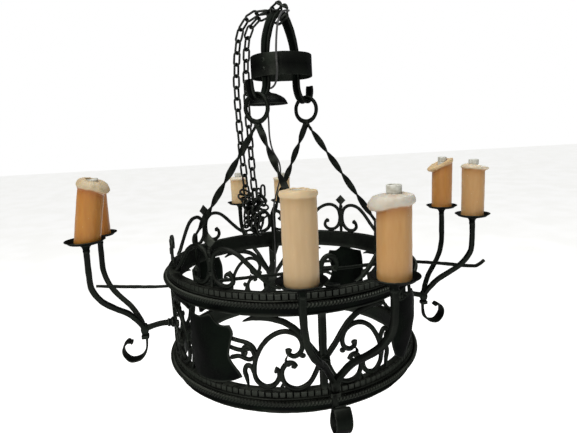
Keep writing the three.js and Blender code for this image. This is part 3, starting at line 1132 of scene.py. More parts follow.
@dataclass
class Crests:
    """What stands on the upper hoop: lozenge finials with S scrolls, and C scrolls over the arms."""

    iron: bpy.types.Material
    width: float = 10.5
    depth: float = 8.0
    foot: float = 22.3
    scroll: Points = (
        (45, 60), (56, 52), (57, 39), (44, 29), (24, 31), (9, 46), (4, 70), (10, 95), (28, 109),
        (50, 110), (72, 101), (94, 82), (118, 58), (143, 37), (164, 28.5),
    )
    arm_scroll: Points = (
        (30, 60), (38, 72), (33, 87), (18, 92), (6, 80), (2, 60), (6, 40), (20, 29.5), (44, 28.5),
    )
    lozenge_z: float = 126.0
    lozenge_half: tuple[float, float] = (18.0, 17.0)
    collars: Points = ((54, 17), (86, 15), (104, 12))  # height and width of each

    def add_lozenge(self, draft: MeshDraft, place: Place) -> None:
        """Adds the four-sided pyramid, pointed to the front and to the back.

        Args:
            draft: The finial's draft.
            place: Bends a flat point on the ring.
        """
        half, tall = self.lozenge_half
        corners = [(0, tall), (half, 0), (0, -tall), (-half, 0)]
        rows = []
        for size, depth in ((0.12, -3.0), (1.0, 2.2), (1.0, 3.8), (0.12, 10.0)):
            rows.append([place(x * size, self.lozenge_z + z * size, depth) for x, z in corners])
        draft.add_grid(rows)

    def finial(self, azimuth: float, base_z: float) -> MeshDraft:
        """Draws the crest over one shield.

        Args:
            azimuth: Which way it faces.
            base_z: Height that its heights count from.

        Returns:
            The crest's draft.
        """
        draft = MeshDraft()
        place = DrumFace(CREST_PLACE_R, CREST_REF_R, azimuth, base_z)
        bar = crowned(self.width, self.depth)
        draft.add_bar(self.scroll, bar, place, (End.FISHTAIL, End.POINT))
        draft.add_bar(mirrored(self.scroll), bar, place, (End.FISHTAIL, End.POINT))
        draft.add_bar(((0, self.foot), (0, 70), (0, 113)), crowned(10, 6.5), place, step=6)
        for z, wide in self.collars:
            draft.add_bar(((0, z - 4), (0, z), (0, z + 4)), crowned(wide, 9.5), place, step=2)
        self.add_lozenge(draft, place)
        draft.roughen(0.5, 14)
        return draft

    def arm_pair(self, azimuth: float, base_z: float) -> MeshDraft:
        """Draws the pair of C scrolls over one arm.

        Args:
            azimuth: The arm's azimuth.
            base_z: Height that its heights count from.

        Returns:
            The pair's draft.
        """
        draft = MeshDraft()
        place = DrumFace(CREST_PLACE_R, CREST_REF_R, azimuth, base_z)
        bar = crowned(self.width + 1, self.depth)
        for line in (self.arm_scroll, mirrored(self.arm_scroll)):
            draft.add_bar(line, bar, place, (End.FISHTAIL, End.POINT))
        draft.add_bar(((0, 52), (0, 60), (0, 68)), crowned(15, 9.5), place, step=2)
        draft.roughen(0.5, 14)
        return draft

    def make(self) -> None:
        """Builds and dresses all eight."""
        base_z = box_mm("arm_crest_front")[0].z - self.foot
        for name, azimuth in ARMS.items():
            finial = self.finial(azimuth + SHIELD_TURN, base_z)
            forge(finial, "crest_finial_" + name, self.iron, "crest_" + name)
            pair = self.arm_pair(azimuth, base_z)
            forge(pair, "arm_crest_scrolls_" + name, self.iron, "arm_crest_" + name)


# ---------------------------------------------------------------- the arms and lights


@dataclass
class ForkArm:
    """One double arm: root collar, stub, fork with two bent stems, and the curled tail leaf."""

    name: str
    azimuth: float
    pans: Sequence[str]
    iron: bpy.types.Material
    stem_r: float = 6.6
    hub_z: float = -773.0
    fork: tuple[float, float, float] = (398.0, 0.0, -783.0)
    stem: Points = (
        (409, 13, -757), (430, 28, -727), (456, 44, -704), (482, 62, -676), (498, 77, -640),
        (500, 81, -600),
    )
    tail: Points = (
        (398, -792), (395, -812), (399, -842), (414, -861), (438, -864), (454, -846), (455, -826),
        (443, -812), (433, -815),
    )
    tail_width: float = 15.0
    leaf_width: float = 33.0
    neck: Points = (
        (5.5, -24), (7.4, -22), (8.2, -18), (7.6, -14), (9.5, -8), (15.5, -1.2), (16, 0), (6, 0),
    )
    collar: Points = (
        (7, 0), (13.2, 0), (14, 1.5), (13.4, 4), (10.4, 6), (9.6, 9), (11, 11), (10.8, 14), (8, 15.5),
        (6, 15.5),
    )

    def arm_point(self, r: float, across: float, z: float) -> Vector:
        """Point of the arm at a distance, a step sideways and a height."""
        return ArmPlane(self.azimuth)(r, z, across)

    def leaf_spread(self, share: float) -> float:
        """Width of the tail along its line: narrow stalk, broad leaf, rounded tip.

        Args:
            share: From 0 at the fork to 1 at the tip.

        Returns:
            A factor on the tail's width.
        """
        broad = self.leaf_width / self.tail_width
        grown = min(1.0, max(0.0, (share - 0.16) / 0.3))
        tip = min(1.0, (1.0 - share) / 0.06 + 0.45)
        return (0.72 + (broad - 0.72) * grown * grown * (3 - 2 * grown)) * tip

    def add_stems(self, draft: MeshDraft, fork: Vector, side: Vector) -> None:
        """Adds the two stems and the necks under their pans.

        Args:
            draft: The arm's draft.
            fork: Where both stems start.
            side: Level direction across the arm.
        """
        section = rounded_rect(2 * self.stem_r, 2 * self.stem_r, 3.8)
        for pan in self.pans:
            low, high = box_mm("pan_" + pan)
            foot = Vector(((low.x + high.x) / 2, (low.y + high.y) / 2, low.z - 0.4))
            sign = math.copysign(1, (foot - self.arm_point(0, 0, foot.z)).dot(side))
            knots = [self.arm_point(r, t * sign, z) for r, t, z in self.stem]
            draft.add_rod(smooth_line((fork, *knots, foot), 5), section, side)
            draft.add_turned(self.neck, 22, Matrix.Translation(foot))

    def add_tail(self, draft: MeshDraft, side: Vector) -> None:
        """Adds the curled leaf with its rolled tip.

        Args:
            draft: The arm's draft.
            side: Level direction across the arm.
        """
        plane = ArmPlane(self.azimuth)
        section = rounded_rect(4.6, self.tail_width, 1.4)
        draft.add_bar(self.tail, section, plane, spread=self.leaf_spread, thin=lambda u: 1.25 - 0.45 * u)
        tip = plane(*self.tail[-1][:2], 0)
        roll = [tip + side * (w * self.leaf_width * 0.34) for w in (-1, -0.9, -0.5, 0, 0.5, 0.9, 1)]
        draft.add_rod(
            roll, circle(3.6, 10), UP, scale=lambda u: 0.55 + 0.5 * math.sin(math.pi * u) ** 0.5,
        )

    def make(self) -> None:
        """Builds and dresses the arm."""
        draft = MeshDraft()
        root = self.arm_point(FRET_PLACE_R + 8.9, 0, self.hub_z)
        fork = self.arm_point(*self.fork)
        middle = self.arm_point(360, 0, self.hub_z - 1)
        side = self.arm_point(0, 1, 0)
        line = smooth_line((root, middle, fork), 4)
        waisted = rounded_rect(15, 14, 3.5)
        draft.add_rod(line, waisted, side, scale=lambda u: 1.08 - 0.16 * math.sin(math.pi * u))
        self.add_stems(draft, fork, side)
        draft.add_turned(self.collar, 26, facing(root, self.arm_point(1, 0, 0)))
        knot = smooth_line((fork + UP * 13, fork, fork - UP * 22), 3)
        draft.add_rod(
            knot, rounded_rect(19, 19, 4.5), side,
            scale=lambda u: 0.72 + 0.36 * math.sin(math.pi * min(1, u * 1.25)),
        )
        draft.add_rod([fork - UP * d for d in (17, 19, 23, 25)], rounded_rect(21.5, 19, 4), side)
        self.add_tail(draft, side)
        draft.roughen(0.7, 17)
        forge(draft, "fork_arm_" + self.name, self.iron, "arm_" + self.name, 34)


@dataclass(frozen=True)
class Melt:
    """How one sleeve's top has melted.

    Angles are azimuths on the whole object: 0 faces the front, and a quarter turn faces right.
    """

    overhang: float = 2.0  # the flange's reach all round
    lobe: float = 0.0  # extra reach at one azimuth
    lobe_at: float = 0.0
    lobe_sharp: float = 1.5
    slant: float = 0.0  # the top rises this much towards slant_at
    slant_at: float = 0.0
    droop: float = 3.0  # the flange hangs this far under the rim
    lobe_droop: float = 0.0
    crinkle: float = 0.8
    dome: float = 2.5
    thick: float = 3.4  # the flange's own thickness


@dataclass(frozen=True)
class Lean:
    """How a light stands aside on its pan and slopes away from it."""

    base: float = 0.0
    lift: float = 0.0
    slope: float = 0.0
    azimuth: float = 1.37

    def move(self, point: Vector, foot_z: float) -> Vector:
        """Moves a point of an upright light to where it is on the leaning one.

        Args:
            point: The point on the upright light.
            foot_z: Height of the light's foot.

        Returns:
            The moved point.
        """
        aside = self.base + self.slope * (point.z - foot_z)
        return point + Vector(
            (math.sin(self.azimuth) * aside, -math.cos(self.azimuth) * aside, self.lift)
        )


@dataclass
class CandleLight:
    """One light: drip pan, wax-look sleeve with its melted top, and lamp holder."""

    name: str
    melt: Melt
    wax: CandleWax
    iron: bpy.types.Material
    plastic: bpy.types.Material
    lean: Lean = Lean()
    seed: float = 0.0
    radius: float = 29.5
    holder_r: float = 13.0
    wall: float = 4.0
    bore: float = 14.6
    sides: int = 72
    body_steps: int = 26
    foot_mark: float = 5.0  # height of the darker foot
    shade_tall: float = 26.0  # height of the warmer band under the melted top

    def middle(self) -> Vector:
        """Middle of the pan's underside."""
        low, high = box_mm("pan_" + self.name)
        return Vector(((low.x + high.x) / 2, (low.y + high.y) / 2, low.z))

    def pan(self) -> None:
        """Builds the dished pan with a rolled rim."""
        low, high = box_mm("pan_" + self.name)
        rim, tall = (high.x - low.x) / 2, high.z - low.z
        flat = self.radius + 1.5
        profile = (
            (0, 0), (flat, 0), (flat + 6, 1.6), (rim - 3.2, tall - 2.2), (rim - 0.6, tall - 1.6),
            (rim, tall - 0.8), (rim - 0.3, tall), (rim - 1.6, tall), (rim - 4, tall - 1.0),
            (flat + 4, 2.7), (flat - 0.5, 1.6), (0, 1.6),
        )
        draft = MeshDraft()
        draft.add_turned(profile, 64, Matrix.Translation(self.middle()))
        draft.roughen(0.55, 20)
        forge(draft, "drip_pan_" + self.name, self.iron, "pan_" + self.name)

    def holder(self) -> None:
        """Builds the lamp holder with its stepped mouth and contact spring."""
        low, high = box_mm("holder_" + self.name)
        outer, tall = self.holder_r, high.z - low.z
        profile = (
            (0, 0), (outer, 0), (outer, tall - 16), (outer - 0.8, tall - 15), (outer - 0.8, tall - 13.5),
            (outer, tall - 12.8), (outer, tall - 1.2), (outer - 1.2, tall), (9.6, tall),
            (9.0, tall - 0.8), (9.0, tall - 5), (8.0, tall - 6), (8.0, tall - 27.5), (2.5, tall - 27.5),
            (2.2, tall - 25), (0, tall - 24.6),
        )
        draft = MeshDraft()
        foot = low.z - self.lean.lift
        draft.add_turned(profile, 40, Matrix.Translation((*self.middle().xy, foot)))
        draft.points = [self.lean.move(p, foot) for p in draft.points]
        draft.roughen(0.12, 7)
        name = "lamp_holder_" + self.name
        settle(draft.build(name, self.plastic), Body.RING.value, "holder_" + self.name)

    def column(self, azimuth: float, height: float) -> tuple[Outline, list[Marks]]:
        """Section of the sleeve at one azimuth.

        Args:
            azimuth: Which way the section faces.
            height: The sleeve's height.

        Returns:
            Radius and height pairs from the inner foot round the outside, and the marks of each.
        """
        m = self.melt
        wave = Vector((math.sin(azimuth) * 2.1, math.cos(azimuth) * 2.1, self.seed))
        fine = Vector((math.sin(azimuth) * 4.7, math.cos(azimuth) * 4.7, self.seed + 9))
        near = max(0.0, math.cos(azimuth - m.lobe_at)) ** (2 * m.lobe_sharp)
        ripple = m.crinkle * (1.2 * noise.noise(wave) + 0.8 * noise.noise(fine))
        reach = max(0.6, m.overhang + m.lobe * near + 1.6 * ripple)
        rise = m.slant * math.cos(azimuth - m.slant_at)
        rim = height - 5 + rise + 1.2 * ripple
        under = rim - m.droop - m.lobe_droop * near - 1.0 * abs(ripple)
        thick = m.thick * (1 + 0.5 * near)
        outer = self.radius
        inner = outer - self.wall
        profile = [(inner, 0.0), (inner + 1.0, 0.0), (outer - 0.6, 0.0), (outer, 0.9)]
        marks = [dict(melt=0.0, under=0.0, foot=1.0)] * 4
        for k in range(1, self.body_steps + 1):
            z = 0.9 + (under - 5.0) * k / self.body_steps
            run = noise.noise(Vector((wave.x * 1.6, wave.y * 1.6, self.seed + z / 70)))
            bumps = 0.7 * run + 0.35 * noise.noise(Vector((fine.x, fine.y, z / 14 + self.seed)))
            # Painted shade: the under mark grows towards the flange's underside.
            shade = max(0.0, 1 - (under - z) / self.shade_tall) ** 1.5
            profile.append((outer + bumps, z))
            marks.append(dict(melt=0.0, under=shade, foot=max(0.0, 1 - z / self.foot_mark)))
        # Each lip step gives radius, height, melt mark and painted shade mark; the shade stays under the
        # flange and inside the bore.
        lip = [
            (outer + 0.35 * reach, under - 1.8, 0.35, 0.8),
            (outer + 0.75 * reach, under - 0.6, 0.75, 0.3),
            (outer + reach, under + 0.35 * thick, 1.0, 0.0),
            (outer + 0.9 * reach, under + 0.85 * thick, 1.0, 0.0),
            (outer + 0.45 * reach, under + thick + 0.3 * (rim - under), 1.0, 0.0),
            (outer - 2.5, max(rim + 0.5, under + 1.1 * thick), 1.0, 0.0),
            (outer - 8, rim + 0.6 * m.dome, 0.95, 0.0), (self.bore + 3, rim + m.dome, 0.9, 0.0),
            (self.bore, rim + m.dome - 1.4, 0.8, 0.2), (self.bore, rim - 6, 0.5, 0.4),
            (inner, rim - 9, 0.3, 0.4),
        ]
        for r, z, melt, shade in lip:
            profile.append((r, z))
            marks.append(dict(melt=melt, under=shade, foot=0.0))
        return profile, marks

    def sleeve(self) -> None:
        """Builds the sleeve, one closed skin round its wall."""
        low, high = box_mm("sleeve_" + self.name)
        height = high.z - low.z - 1.0
        foot = low.z - self.lean.lift
        centre = self.middle()
        rows: list[list[Vector]] = []
        marks: list[Marks] = []
        for i in range(self.sides):
            azimuth = 2 * math.pi * i / self.sides
            profile, labels = self.column(azimuth, height)
            row = [Vector((centre.x, centre.y, foot + z)) + heading(azimuth) * r for r, z in profile]
            rows.append([self.lean.move(p, foot) for p in row])
            marks.extend(labels)
        draft = MeshDraft()
        draft.add_grid(rows, closed=True)
        for label in ("melt", "under", "foot"):
            draft.marks[label] = [m[label] for m in marks]
        piece = draft.build("candle_sleeve_" + self.name, self.wax.build(), 60)
        settle(piece, "candle_" + self.name, "sleeve_" + self.name)

    def make(self) -> None:
        """Builds and dresses the light."""
        self.pan()
        self.holder()
        self.sleeve()


# ---------------------------------------------------------------- what it hangs by


@dataclass
class TwistedBars:
    """The four bars from the eyes to the hoop: two full turns of twist, then an upright and a foot."""

    iron: bpy.types.Material
    width: float = 17.0
    thick: float = 5.5
    post_r: float = 248.0
    post_top: float = -545.0
    turns: float = 2.0
    lead: float = 0.06  # share of the slope left flat at each end
    upright: Points = ((248, -600), (248, -652), (254, -668), (270, -670), (309, -670))

    def twist(self, share: float) -> float:
        """Turn of the bar along its slope.

        Args:
            share: From 0 at the eye to 1 at the shoulder.

        Returns:
            The turn in radians, 0 at the shoulder.
        """
        eased = min(1.0, max(0.0, (share - self.lead) / (1 - 2 * self.lead)))
        return 2 * math.pi * self.turns * (eased - 1)

    def make(self) -> None:
        """Builds and dresses the four bars."""
        section = rounded_rect(self.width, self.thick, 1.8)
        for name, azimuth in ARMS.items():
            eye = "left" if name in ("front", "left") else "right"
            low, high = box_mm("eye_" + eye)
            middle = (low + high) / 2
            start = Vector((middle.x, middle.y, low.z + 3))
            plane = ArmPlane(azimuth)
            shoulder = plane(self.post_r, self.post_top, 0)
            side = plane(0, 0, 1)
            draft = MeshDraft()
            start += (shoulder - start).normalized() * 2
            draft.add_rod(even_steps([start, shoulder], 3), section, side, twist=self.twist)
            knots = [start.lerp(shoulder, 0.985), shoulder]
            knots += [plane(r, z, 0) for r, z in self.upright]
            draft.add_rod(smooth_line(knots, 4), section, side)
            draft.roughen(0.5, 15)
            forge(draft, "twisted_flat_bar_" + name, self.iron, "twisted_bar_" + name, 34)


@dataclass
class Eyes:
    """The two forged rings that hang in the hooks, each with a collar below."""

    iron: bpy.types.Material
    wire_r: float = 5.2
    ring_r: float = 33.0
    steps: int = 56
    collar: Sequence[float] = (4, 2, 0, -2, -4, -6, -9)  # heights over the ring's lowest point

    def make(self) -> None:
        """Builds and dresses both eyes."""
        for name in ("left", "right"):
            low, high = box_mm("eye_" + name)
            middle = (low + high) / 2
            top = Vector((middle.x, middle.y, high.z - self.wire_r - self.ring_r))
            turns = [2 * math.pi * k / self.steps for k in range(self.steps)]
            loop = [top + (ACROSS_HOOKS * math.cos(a) + UP * math.sin(a)) * self.ring_r for a in turns]
            draft = MeshDraft()
            draft.add_rod(
                loop, circle(self.wire_r, 14), UP.cross(ACROSS_HOOKS),
                scale=lambda u: 1.0 + 0.22 * max(0.0, math.sin(2 * math.pi * u + math.pi)) ** 3,
                closed=True,
            )
            draft.add_rod(
                [top - UP * (self.ring_r - z) for z in self.collar], rounded_rect(20, 12.5, 3.5),
                ACROSS_HOOKS, scale=lambda u: 0.94 + 0.12 * math.sin(6 * u),
            )
            draft.roughen(0.5, 12)
            forge(draft, "hanging_eye_" + name, self.iron, "eye_" + name)


@dataclass
class Bail:
    """The fluted flat bar bent to a pointed arch and ended in two hooks."""

    iron: bpy.types.Material
    width: float = 22.0
    thick: float = 8.4
    half: Points = (
        (0, 3.5), (16, -1), (34, -16), (50, -40), (62, -68), (67, -96), (68, -124), (68, -150),
        (70, -178), (82, -199), (98, -208.5), (114, -210), (128, -203), (136, -188), (138, -166),
    )

    def fluted(self) -> Outline:
        """Section of the bar: a shallow flute along both broad faces.

        Returns:
            The section's points, in order.
        """
        a, b = self.width / 2, self.thick / 2
        top = [(a, b * 0.5), (a - 1.2, b), (a * 0.62, b), (a * 0.4, b * 0.45), (0, b * 0.25)]
        top += [(-x, y) for x, y in reversed(top[:-1])]
        return top + [(-x, -y) for x, y in top]

    def tapered(self, share: float) -> float:
        """Size of the bar along its length: slim hook tips and a heavier arch.

        Args:
            share: From 0 at one tip to 1 at the other.

        Returns:
            A factor on the section.
        """
        arch = max(0.0, 1 - abs(share - 0.5) / 0.2)
        return min(1.0, 0.92 + 6 * min(share, 1 - share)) + 0.22 * arch**0.5

    def make(self) -> None:
        """Builds and dresses the bail."""
        outward = heading(HOOKS_AZIMUTH)
        side = Vector((-outward.y, outward.x, 0))
        full = mirrored(self.half[:0:-1]) + list(self.half)
        line = smooth_line([outward * u + UP * z for u, z in full], 2.5)
        draft = MeshDraft()
        draft.add_rod(line, self.fluted(), side, scale=self.tapered)
        draft.roughen(0.6, 18)
        forge(draft, "pointed_bail", self.iron, "bail", 40, Body.HANGER)


@dataclass
class CrownBand:
    """The plain open band round the legs of the bail, with two rivets at each leg."""

    iron: bpy.types.Material
    sheet: float = 4.0
    rivet_rises: Sequence[float] = (0.3, 0.7)  # shares of the band's height
    rivet: Points = ((5.4, 0), (5.2, 1.4), (3.8, 2.8), (1.6, 3.5))

    def make(self) -> None:
        """Builds and dresses the band."""
        low, high = box_mm("crown_band")
        middle, radius, tall = (low + high) / 2, (high.x - low.x) / 2, high.z - low.z
        profile = (
            (radius - self.sheet, 1.0), (radius - self.sheet, tall - 1), (radius - self.sheet + 1, tall),
            (radius - 1, tall), (radius, tall - 1), (radius + 0.2, tall / 2), (radius, 1.0),
            (radius - 1, 0), (radius - self.sheet + 1, 0),
        )
        draft = MeshDraft()
        draft.add_turned(profile, 96, Matrix.Translation((middle.x, middle.y, low.z)), closed=True)
        for leg in (0, math.pi):
            outward = heading(HOOKS_AZIMUTH + leg)
            for rise in self.rivet_rises:
                seat = Vector((middle.x, middle.y, low.z + tall * rise)) + outward * (radius - 1)
                draft.add_turned(self.rivet, 18, facing(seat, outward))
        draft.roughen(0.8, 30)
        forge(draft, "crown_band_sheet", self.iron, "crown_band", 30, Body.HANGER)


@dataclass
class Canopy:
    """Small pressed rose, hung slack on the flex."""

    iron: bpy.types.Material
    drawn_r: float = 56.0  # the size that the profiles are drawn at
    drawn_tall: float = 34.0
    outer: Points = (
        (6.5, 34), (9, 34), (11, 31.5), (26, 27.5), (40, 21), (48, 15), (53, 8), (54.5, 3.6), (56, 3),
        (56, 0.5),
    )
    inner: Points = (
        (54.5, 0), (52, 1.6), (50.5, 7), (46, 13), (38, 18.8), (25, 25), (11, 28.5), (6.5, 29.5),
    )

    def make(self) -> None:
        """Builds and dresses the rose."""
        low, high = box_mm("canopy")
        middle, radius = (low + high) / 2, (high.x - low.x) / 2
        wide, tall = radius / self.drawn_r, (high.z - low.z) / self.drawn_tall
        profile = [(r * wide, z * tall) for r, z in (*self.outer, *self.inner)]
        draft = MeshDraft()
        draft.add_turned(profile, 60, Matrix.Translation((middle.x, middle.y, low.z)), closed=True)
        draft.roughen(0.4, 24)
        forge(draft, "ceiling_rose", self.iron, "canopy", 36, Body.HANGER)


@dataclass
class Chain:
    """The slack link chain: a loop of it round the bail, two strands down, and a bunch at the end."""

    iron: bpy.types.Material
    wire_r: float = 2.8
    link_half: tuple[float, float] = (17.0, 8.6)  # half length and half width of a link's middle line
    pitch: float = 28.4
    wound_r: float = 18.5
    wound_z: float = 3.5
    wound_links: int = 6
    strands: Sequence[Points] = (
        (
            (-13, 6, 4), (-34, 14, 8), (-68, 26, 0), (-97, 38, -40), (-112, 44, -150), (-111, 44, -300),
            (-104, 42, -440), (-96, 39, -500),
        ),
        (
            (-11, 14, 4), (-30, 28, 4), (-56, 36, -12), (-76, 42, -46), (-86, 46, -150), (-86, 46, -300),
            (-82, 43, -440), (-78, 38, -510),
        ),
    )
    bunch_links: int = 34
    bunch_at: tuple[float, float, float] = (-86.0, 38.0, -446.0)
    bunch_drop: float = 112.0
    bunch_wide: float = 27.0
    bunch_narrow: float = 12.0  # how much narrower it is at its foot

    def link_line(self, middle: Vector, along: Vector, wide: Vector) -> list[Vector]:
        """Middle line of one oval link.

        Args:
            middle: The link's middle.
            along: Its long direction.
            wide: Its short direction.

        Returns:
            Points round the link.
        """
        long, half = self.link_half
        straight = long - half
        line = []
        for k in range(20):
            a = 2 * math.pi * k / 20
            reach = straight if math.cos(a) >= 0 else -straight
            line.append(middle + along * (reach + half * math.cos(a)) + wide * (half * math.sin(a)))
        return line

    def add_link(self, draft: MeshDraft, middle: Vector, along: Vector, wide: Vector) -> None:
        """Adds one link, given its middle and its long and short directions."""
        line = self.link_line(middle, along, wide)
        draft.add_rod(line, circle(self.wire_r, 8), along.cross(wide), closed=True)

    def add_strand(self, draft: MeshDraft, points: Points) -> None:
        """Adds links along one strand, each turned a quarter from the last.

        Args:
            draft: The chain's draft.
            points: The strand's line.
        """
        line = smooth_line(points, self.pitch)
        side = Vector((1, 0, 0))
        for i, p in enumerate(line):
            along = tangent_at(line, i)
            side = (side - along * side.dot(along)).normalized()
            other = along.cross(side)
            wide = side + other * 0.7 if i % 2 else other - side * 0.7
            self.add_link(draft, p, along, wide.normalized())

    def add_winding(self, draft: MeshDraft) -> None:
        """Adds the links that are wound round the bail's apex.

        Args:
            draft: The chain's draft.
        """
        middle = UP * self.wound_z
        for i in range(self.wound_links):
            a = 2 * math.pi * i / self.wound_links
            spoke = ACROSS_HOOKS * math.cos(a) + UP * math.sin(a)
            along = UP * math.cos(a) - ACROSS_HOOKS * math.sin(a)
            wide = ALONG_HINGE if i % 2 else spoke
            reach = self.wound_r + (0.5 if i % 2 else -2.0)
            self.add_link(draft, middle + spoke * reach, along, wide)

    def add_bunch(self, draft: MeshDraft) -> None:
        """Adds the heap of links at the end of the strands.

        Args:
            draft: The chain's draft.
        """
        for i in range(self.bunch_links):
            share, turn, tilt = i / self.bunch_links, 2.4 * i, 1.1 * i
            spread = self.bunch_wide - self.bunch_narrow * share
            step = Vector(
                (spread * math.cos(turn), 0.5 * spread * math.sin(turn), -self.bunch_drop * share)
            )
            along = Vector(
                (math.sin(tilt) * math.cos(turn), math.sin(tilt) * math.sin(turn), math.cos(tilt))
            )
            self.add_link(draft, Vector(self.bunch_at) + step, along, along.orthogonal().normalized())

    def make(self) -> None:
        """Builds and dresses the chain."""
        draft = MeshDraft()
        self.add_winding(draft)
        for points in self.strands:
            self.add_strand(draft, points)
        self.add_bunch(draft)
        draft.roughen(0.15, 8)
        forge(draft, "link_chain", self.iron, "chain", 60, Body.HANGER)


@dataclass
class Flex:
    """The thin flex, from the bail through the rose and along the back bar into the back arm."""

    sheath: bpy.types.Material
    radius: float = 2.5
    sides: int = 10
    bend_start: tuple[float, float, float] = (0.0, 0.1, -0.33)
    bend_end: tuple[float, float, float] = (0.0, 0.16, -0.44)
    points: Points = (
        (17.1, -17.1, 3.5), (19, -30, 2), (-2, -48, -6), (-18, -68, -38), (-28, -88, -98),
        (-28, -89, -146), (-29, -66, -172), (-29, -10, -178), (-29, 40, -174), (-29, 64, -177),
        (-29, 67, -190), (-29, 67, -217), (-28, 71, -258), (-26, 79, -304), (-16, 98, -340),
        (4, 130, -370), (14, 156, -394), (15, 172, -424), (9, 188, -458), (0, 212, -505),
        (-2, 231, -545), (0, 240, -585), (0, 241, -640), (0, 242, -690), (0, 258, -738), (0, 288, -768),
        (0, 313.4, -773),
    )

    def make(self) -> None:
        line = smooth_line(self.points, 5)
        draft = MeshDraft()
        draft.add_rod(line, circle(self.radius, self.sides), UP)
        piece = draft.build("lighting_flex", self.sheath, 80)
        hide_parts("wire")
        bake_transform(piece)


@dataclass
class CrossRod:
    """The dark rod through the ring: thicker and lumpy inside."""

    iron: bpy.types.Material
    radius: float = 5.0
    points: Points = (
        (-508, 15.5, -659), (-420, 15.5, -670), (-330, 15.5, -678.1), (-160, 15.5, -678.1),
        (0, 15.5, -678.1), (160, 15.5, -678.1), (330, 15.5, -678.1), (450, 15.5, -694),
        (560, 15.5, -714), (588, 15.5, -712), (606, 15.5, -700),
    )

    def thickness(self, share: float) -> float:
        """Thin at the left end, fuller through the ring and at the right end."""
        return 0.72 + 0.34 * min(1.0, share / 0.25) + 0.08 * math.sin(29 * share)

    def make(self) -> None:
        """Builds and dresses the rod."""
        draft = MeshDraft()
        line = smooth_line(self.points, 6)
        draft.add_rod(line, circle(self.radius, 12), Vector((0, 1, 0)), scale=self.thickness)
        draft.roughen(0.9, 16)
        forge(draft, "horizontal_rod", self.iron, "cross_rod", 60)


# ---------------------------------------------------------------- studio


@dataclass
class Studio:
    """White paper under the hanging object, soft light all round, and the camera."""

    floor_z: float = -1.5
    room: float = 40.0
    middle: tuple[float, float, float] = (0.0, 0.0, -0.6)  # what the soft boxes face
    camera_at: tuple[float, float, float] = (-0.2396, -1.2105, -0.2943)
    forward: tuple[float, float, float] = (0.19211, 0.96554, -0.17559)
    level_right: tuple[float, float, float] = (0.98077, -0.19514, 0.0)
    roll: float = -0.0451
    lens_mm: float = 28.99
    seen_white: float = 1.0
    ambient: float = 0.32
    top_watts: float = 66.0
    key_watts: float = 34.0
    rim_watts: float = 10.0

    def floor(self) -> None:
        """Lays the paper well below the object."""
        mesh = bpy.data.meshes.new("paper_floor")
        half, z = self.room / 2, self.floor_z
        corners = [(-half, -half, z), (half, -half, z), (half, half, z), (-half, half, z)]
        mesh.from_pydata(corners, [], [(0, 1, 2, 3)])
        mesh.materials.append(StudioPaper("white_seamless_paper").build())
        sheet = bpy.data.objects.new("paper_floor", mesh)
        bpy.context.scene.collection.objects.link(sheet)

    def lamp(self, name: str, place: Sequence[float], size: float, watts: float, tint: str) -> None:
        """Hangs one soft box that faces the object.

        Args:
            name: The light's name.
            place: Where it hangs, in metres.
            size: Its width in metres.
            watts: Its power.
            tint: Its colour.
        """
        data = bpy.data.lights.new(name, "AREA")
        data.shape, data.size, data.energy = "SQUARE", size, watts
        data.color = linear(tint)[:3]
        lamp = bpy.data.objects.new(name, data)
        lamp.location = place
        lamp.rotation_euler = (Vector(self.middle) - Vector(place)).to_track_quat("-Z", "Y").to_euler()
        bpy.context.scene.collection.objects.link(lamp)

    def lights(self) -> None:
        """Sets the white surroundings and the soft boxes."""
        world = bpy.data.worlds.new("white_surroundings")
        bpy.context.scene.world = world
        world.use_nodes = True
        tree = world.node_tree
        tree.nodes.clear()
        path = add_node(tree, "LightPath")
        level = add_node(
            tree, "MapRange",
            inputs={
                "Value": path.outputs["Is Camera Ray"], "To Min": self.ambient,
                "To Max": self.seen_white,
            },
        )
        glow = add_node(
            tree, "Background", inputs={"Color": linear("#ffffff"), "Strength": level.outputs[0]},
        )
        add_node(tree, "OutputWorld", inputs={"Surface": glow.outputs[0]})
        self.lamp("top_box", (-0.3, -0.4, 2.0), 2.6, self.top_watts, "#ffffff")
        self.lamp("key_box", (-1.5, -1.9, 0.7), 1.5, self.key_watts, "#fffaf2")
        self.lamp("rim_box", (1.9, 1.2, 0.9), 1.0, self.rim_watts, "#f4f8ff")

    def camera(self) -> None:
        """Stands the camera."""
        forward = Vector(self.forward).normalized()
        level = Vector(self.level_right).normalized()
        lifted = level.cross(forward)
        cosine, sine = math.cos(self.roll), math.sin(self.roll)
        right = level * cosine + lifted * sine
        up = lifted * cosine - level * sine
        data = bpy.data.cameras.new("studio_camera")
        data.lens, data.sensor_width, data.sensor_fit = self.lens_mm, 36.0, "HORIZONTAL"
        data.dof.use_dof = False
        data.clip_start, data.clip_end = 0.02, 60.0
        camera = bpy.data.objects.new("studio_camera", data)
        turned = Matrix((right, up, -forward)).transposed().to_4x4()
        camera.matrix_world = Matrix.Translation(self.camera_at) @ turned
        bpy.context.scene.collection.objects.link(camera)
        bpy.context.scene.camera = camera

    def make(self) -> None:
        """Builds the studio."""
        self.camera()
        self.floor()
        self.lights()
        view = bpy.context.scene.view_settings
        view.view_transform, view.look = "Standard", "None"


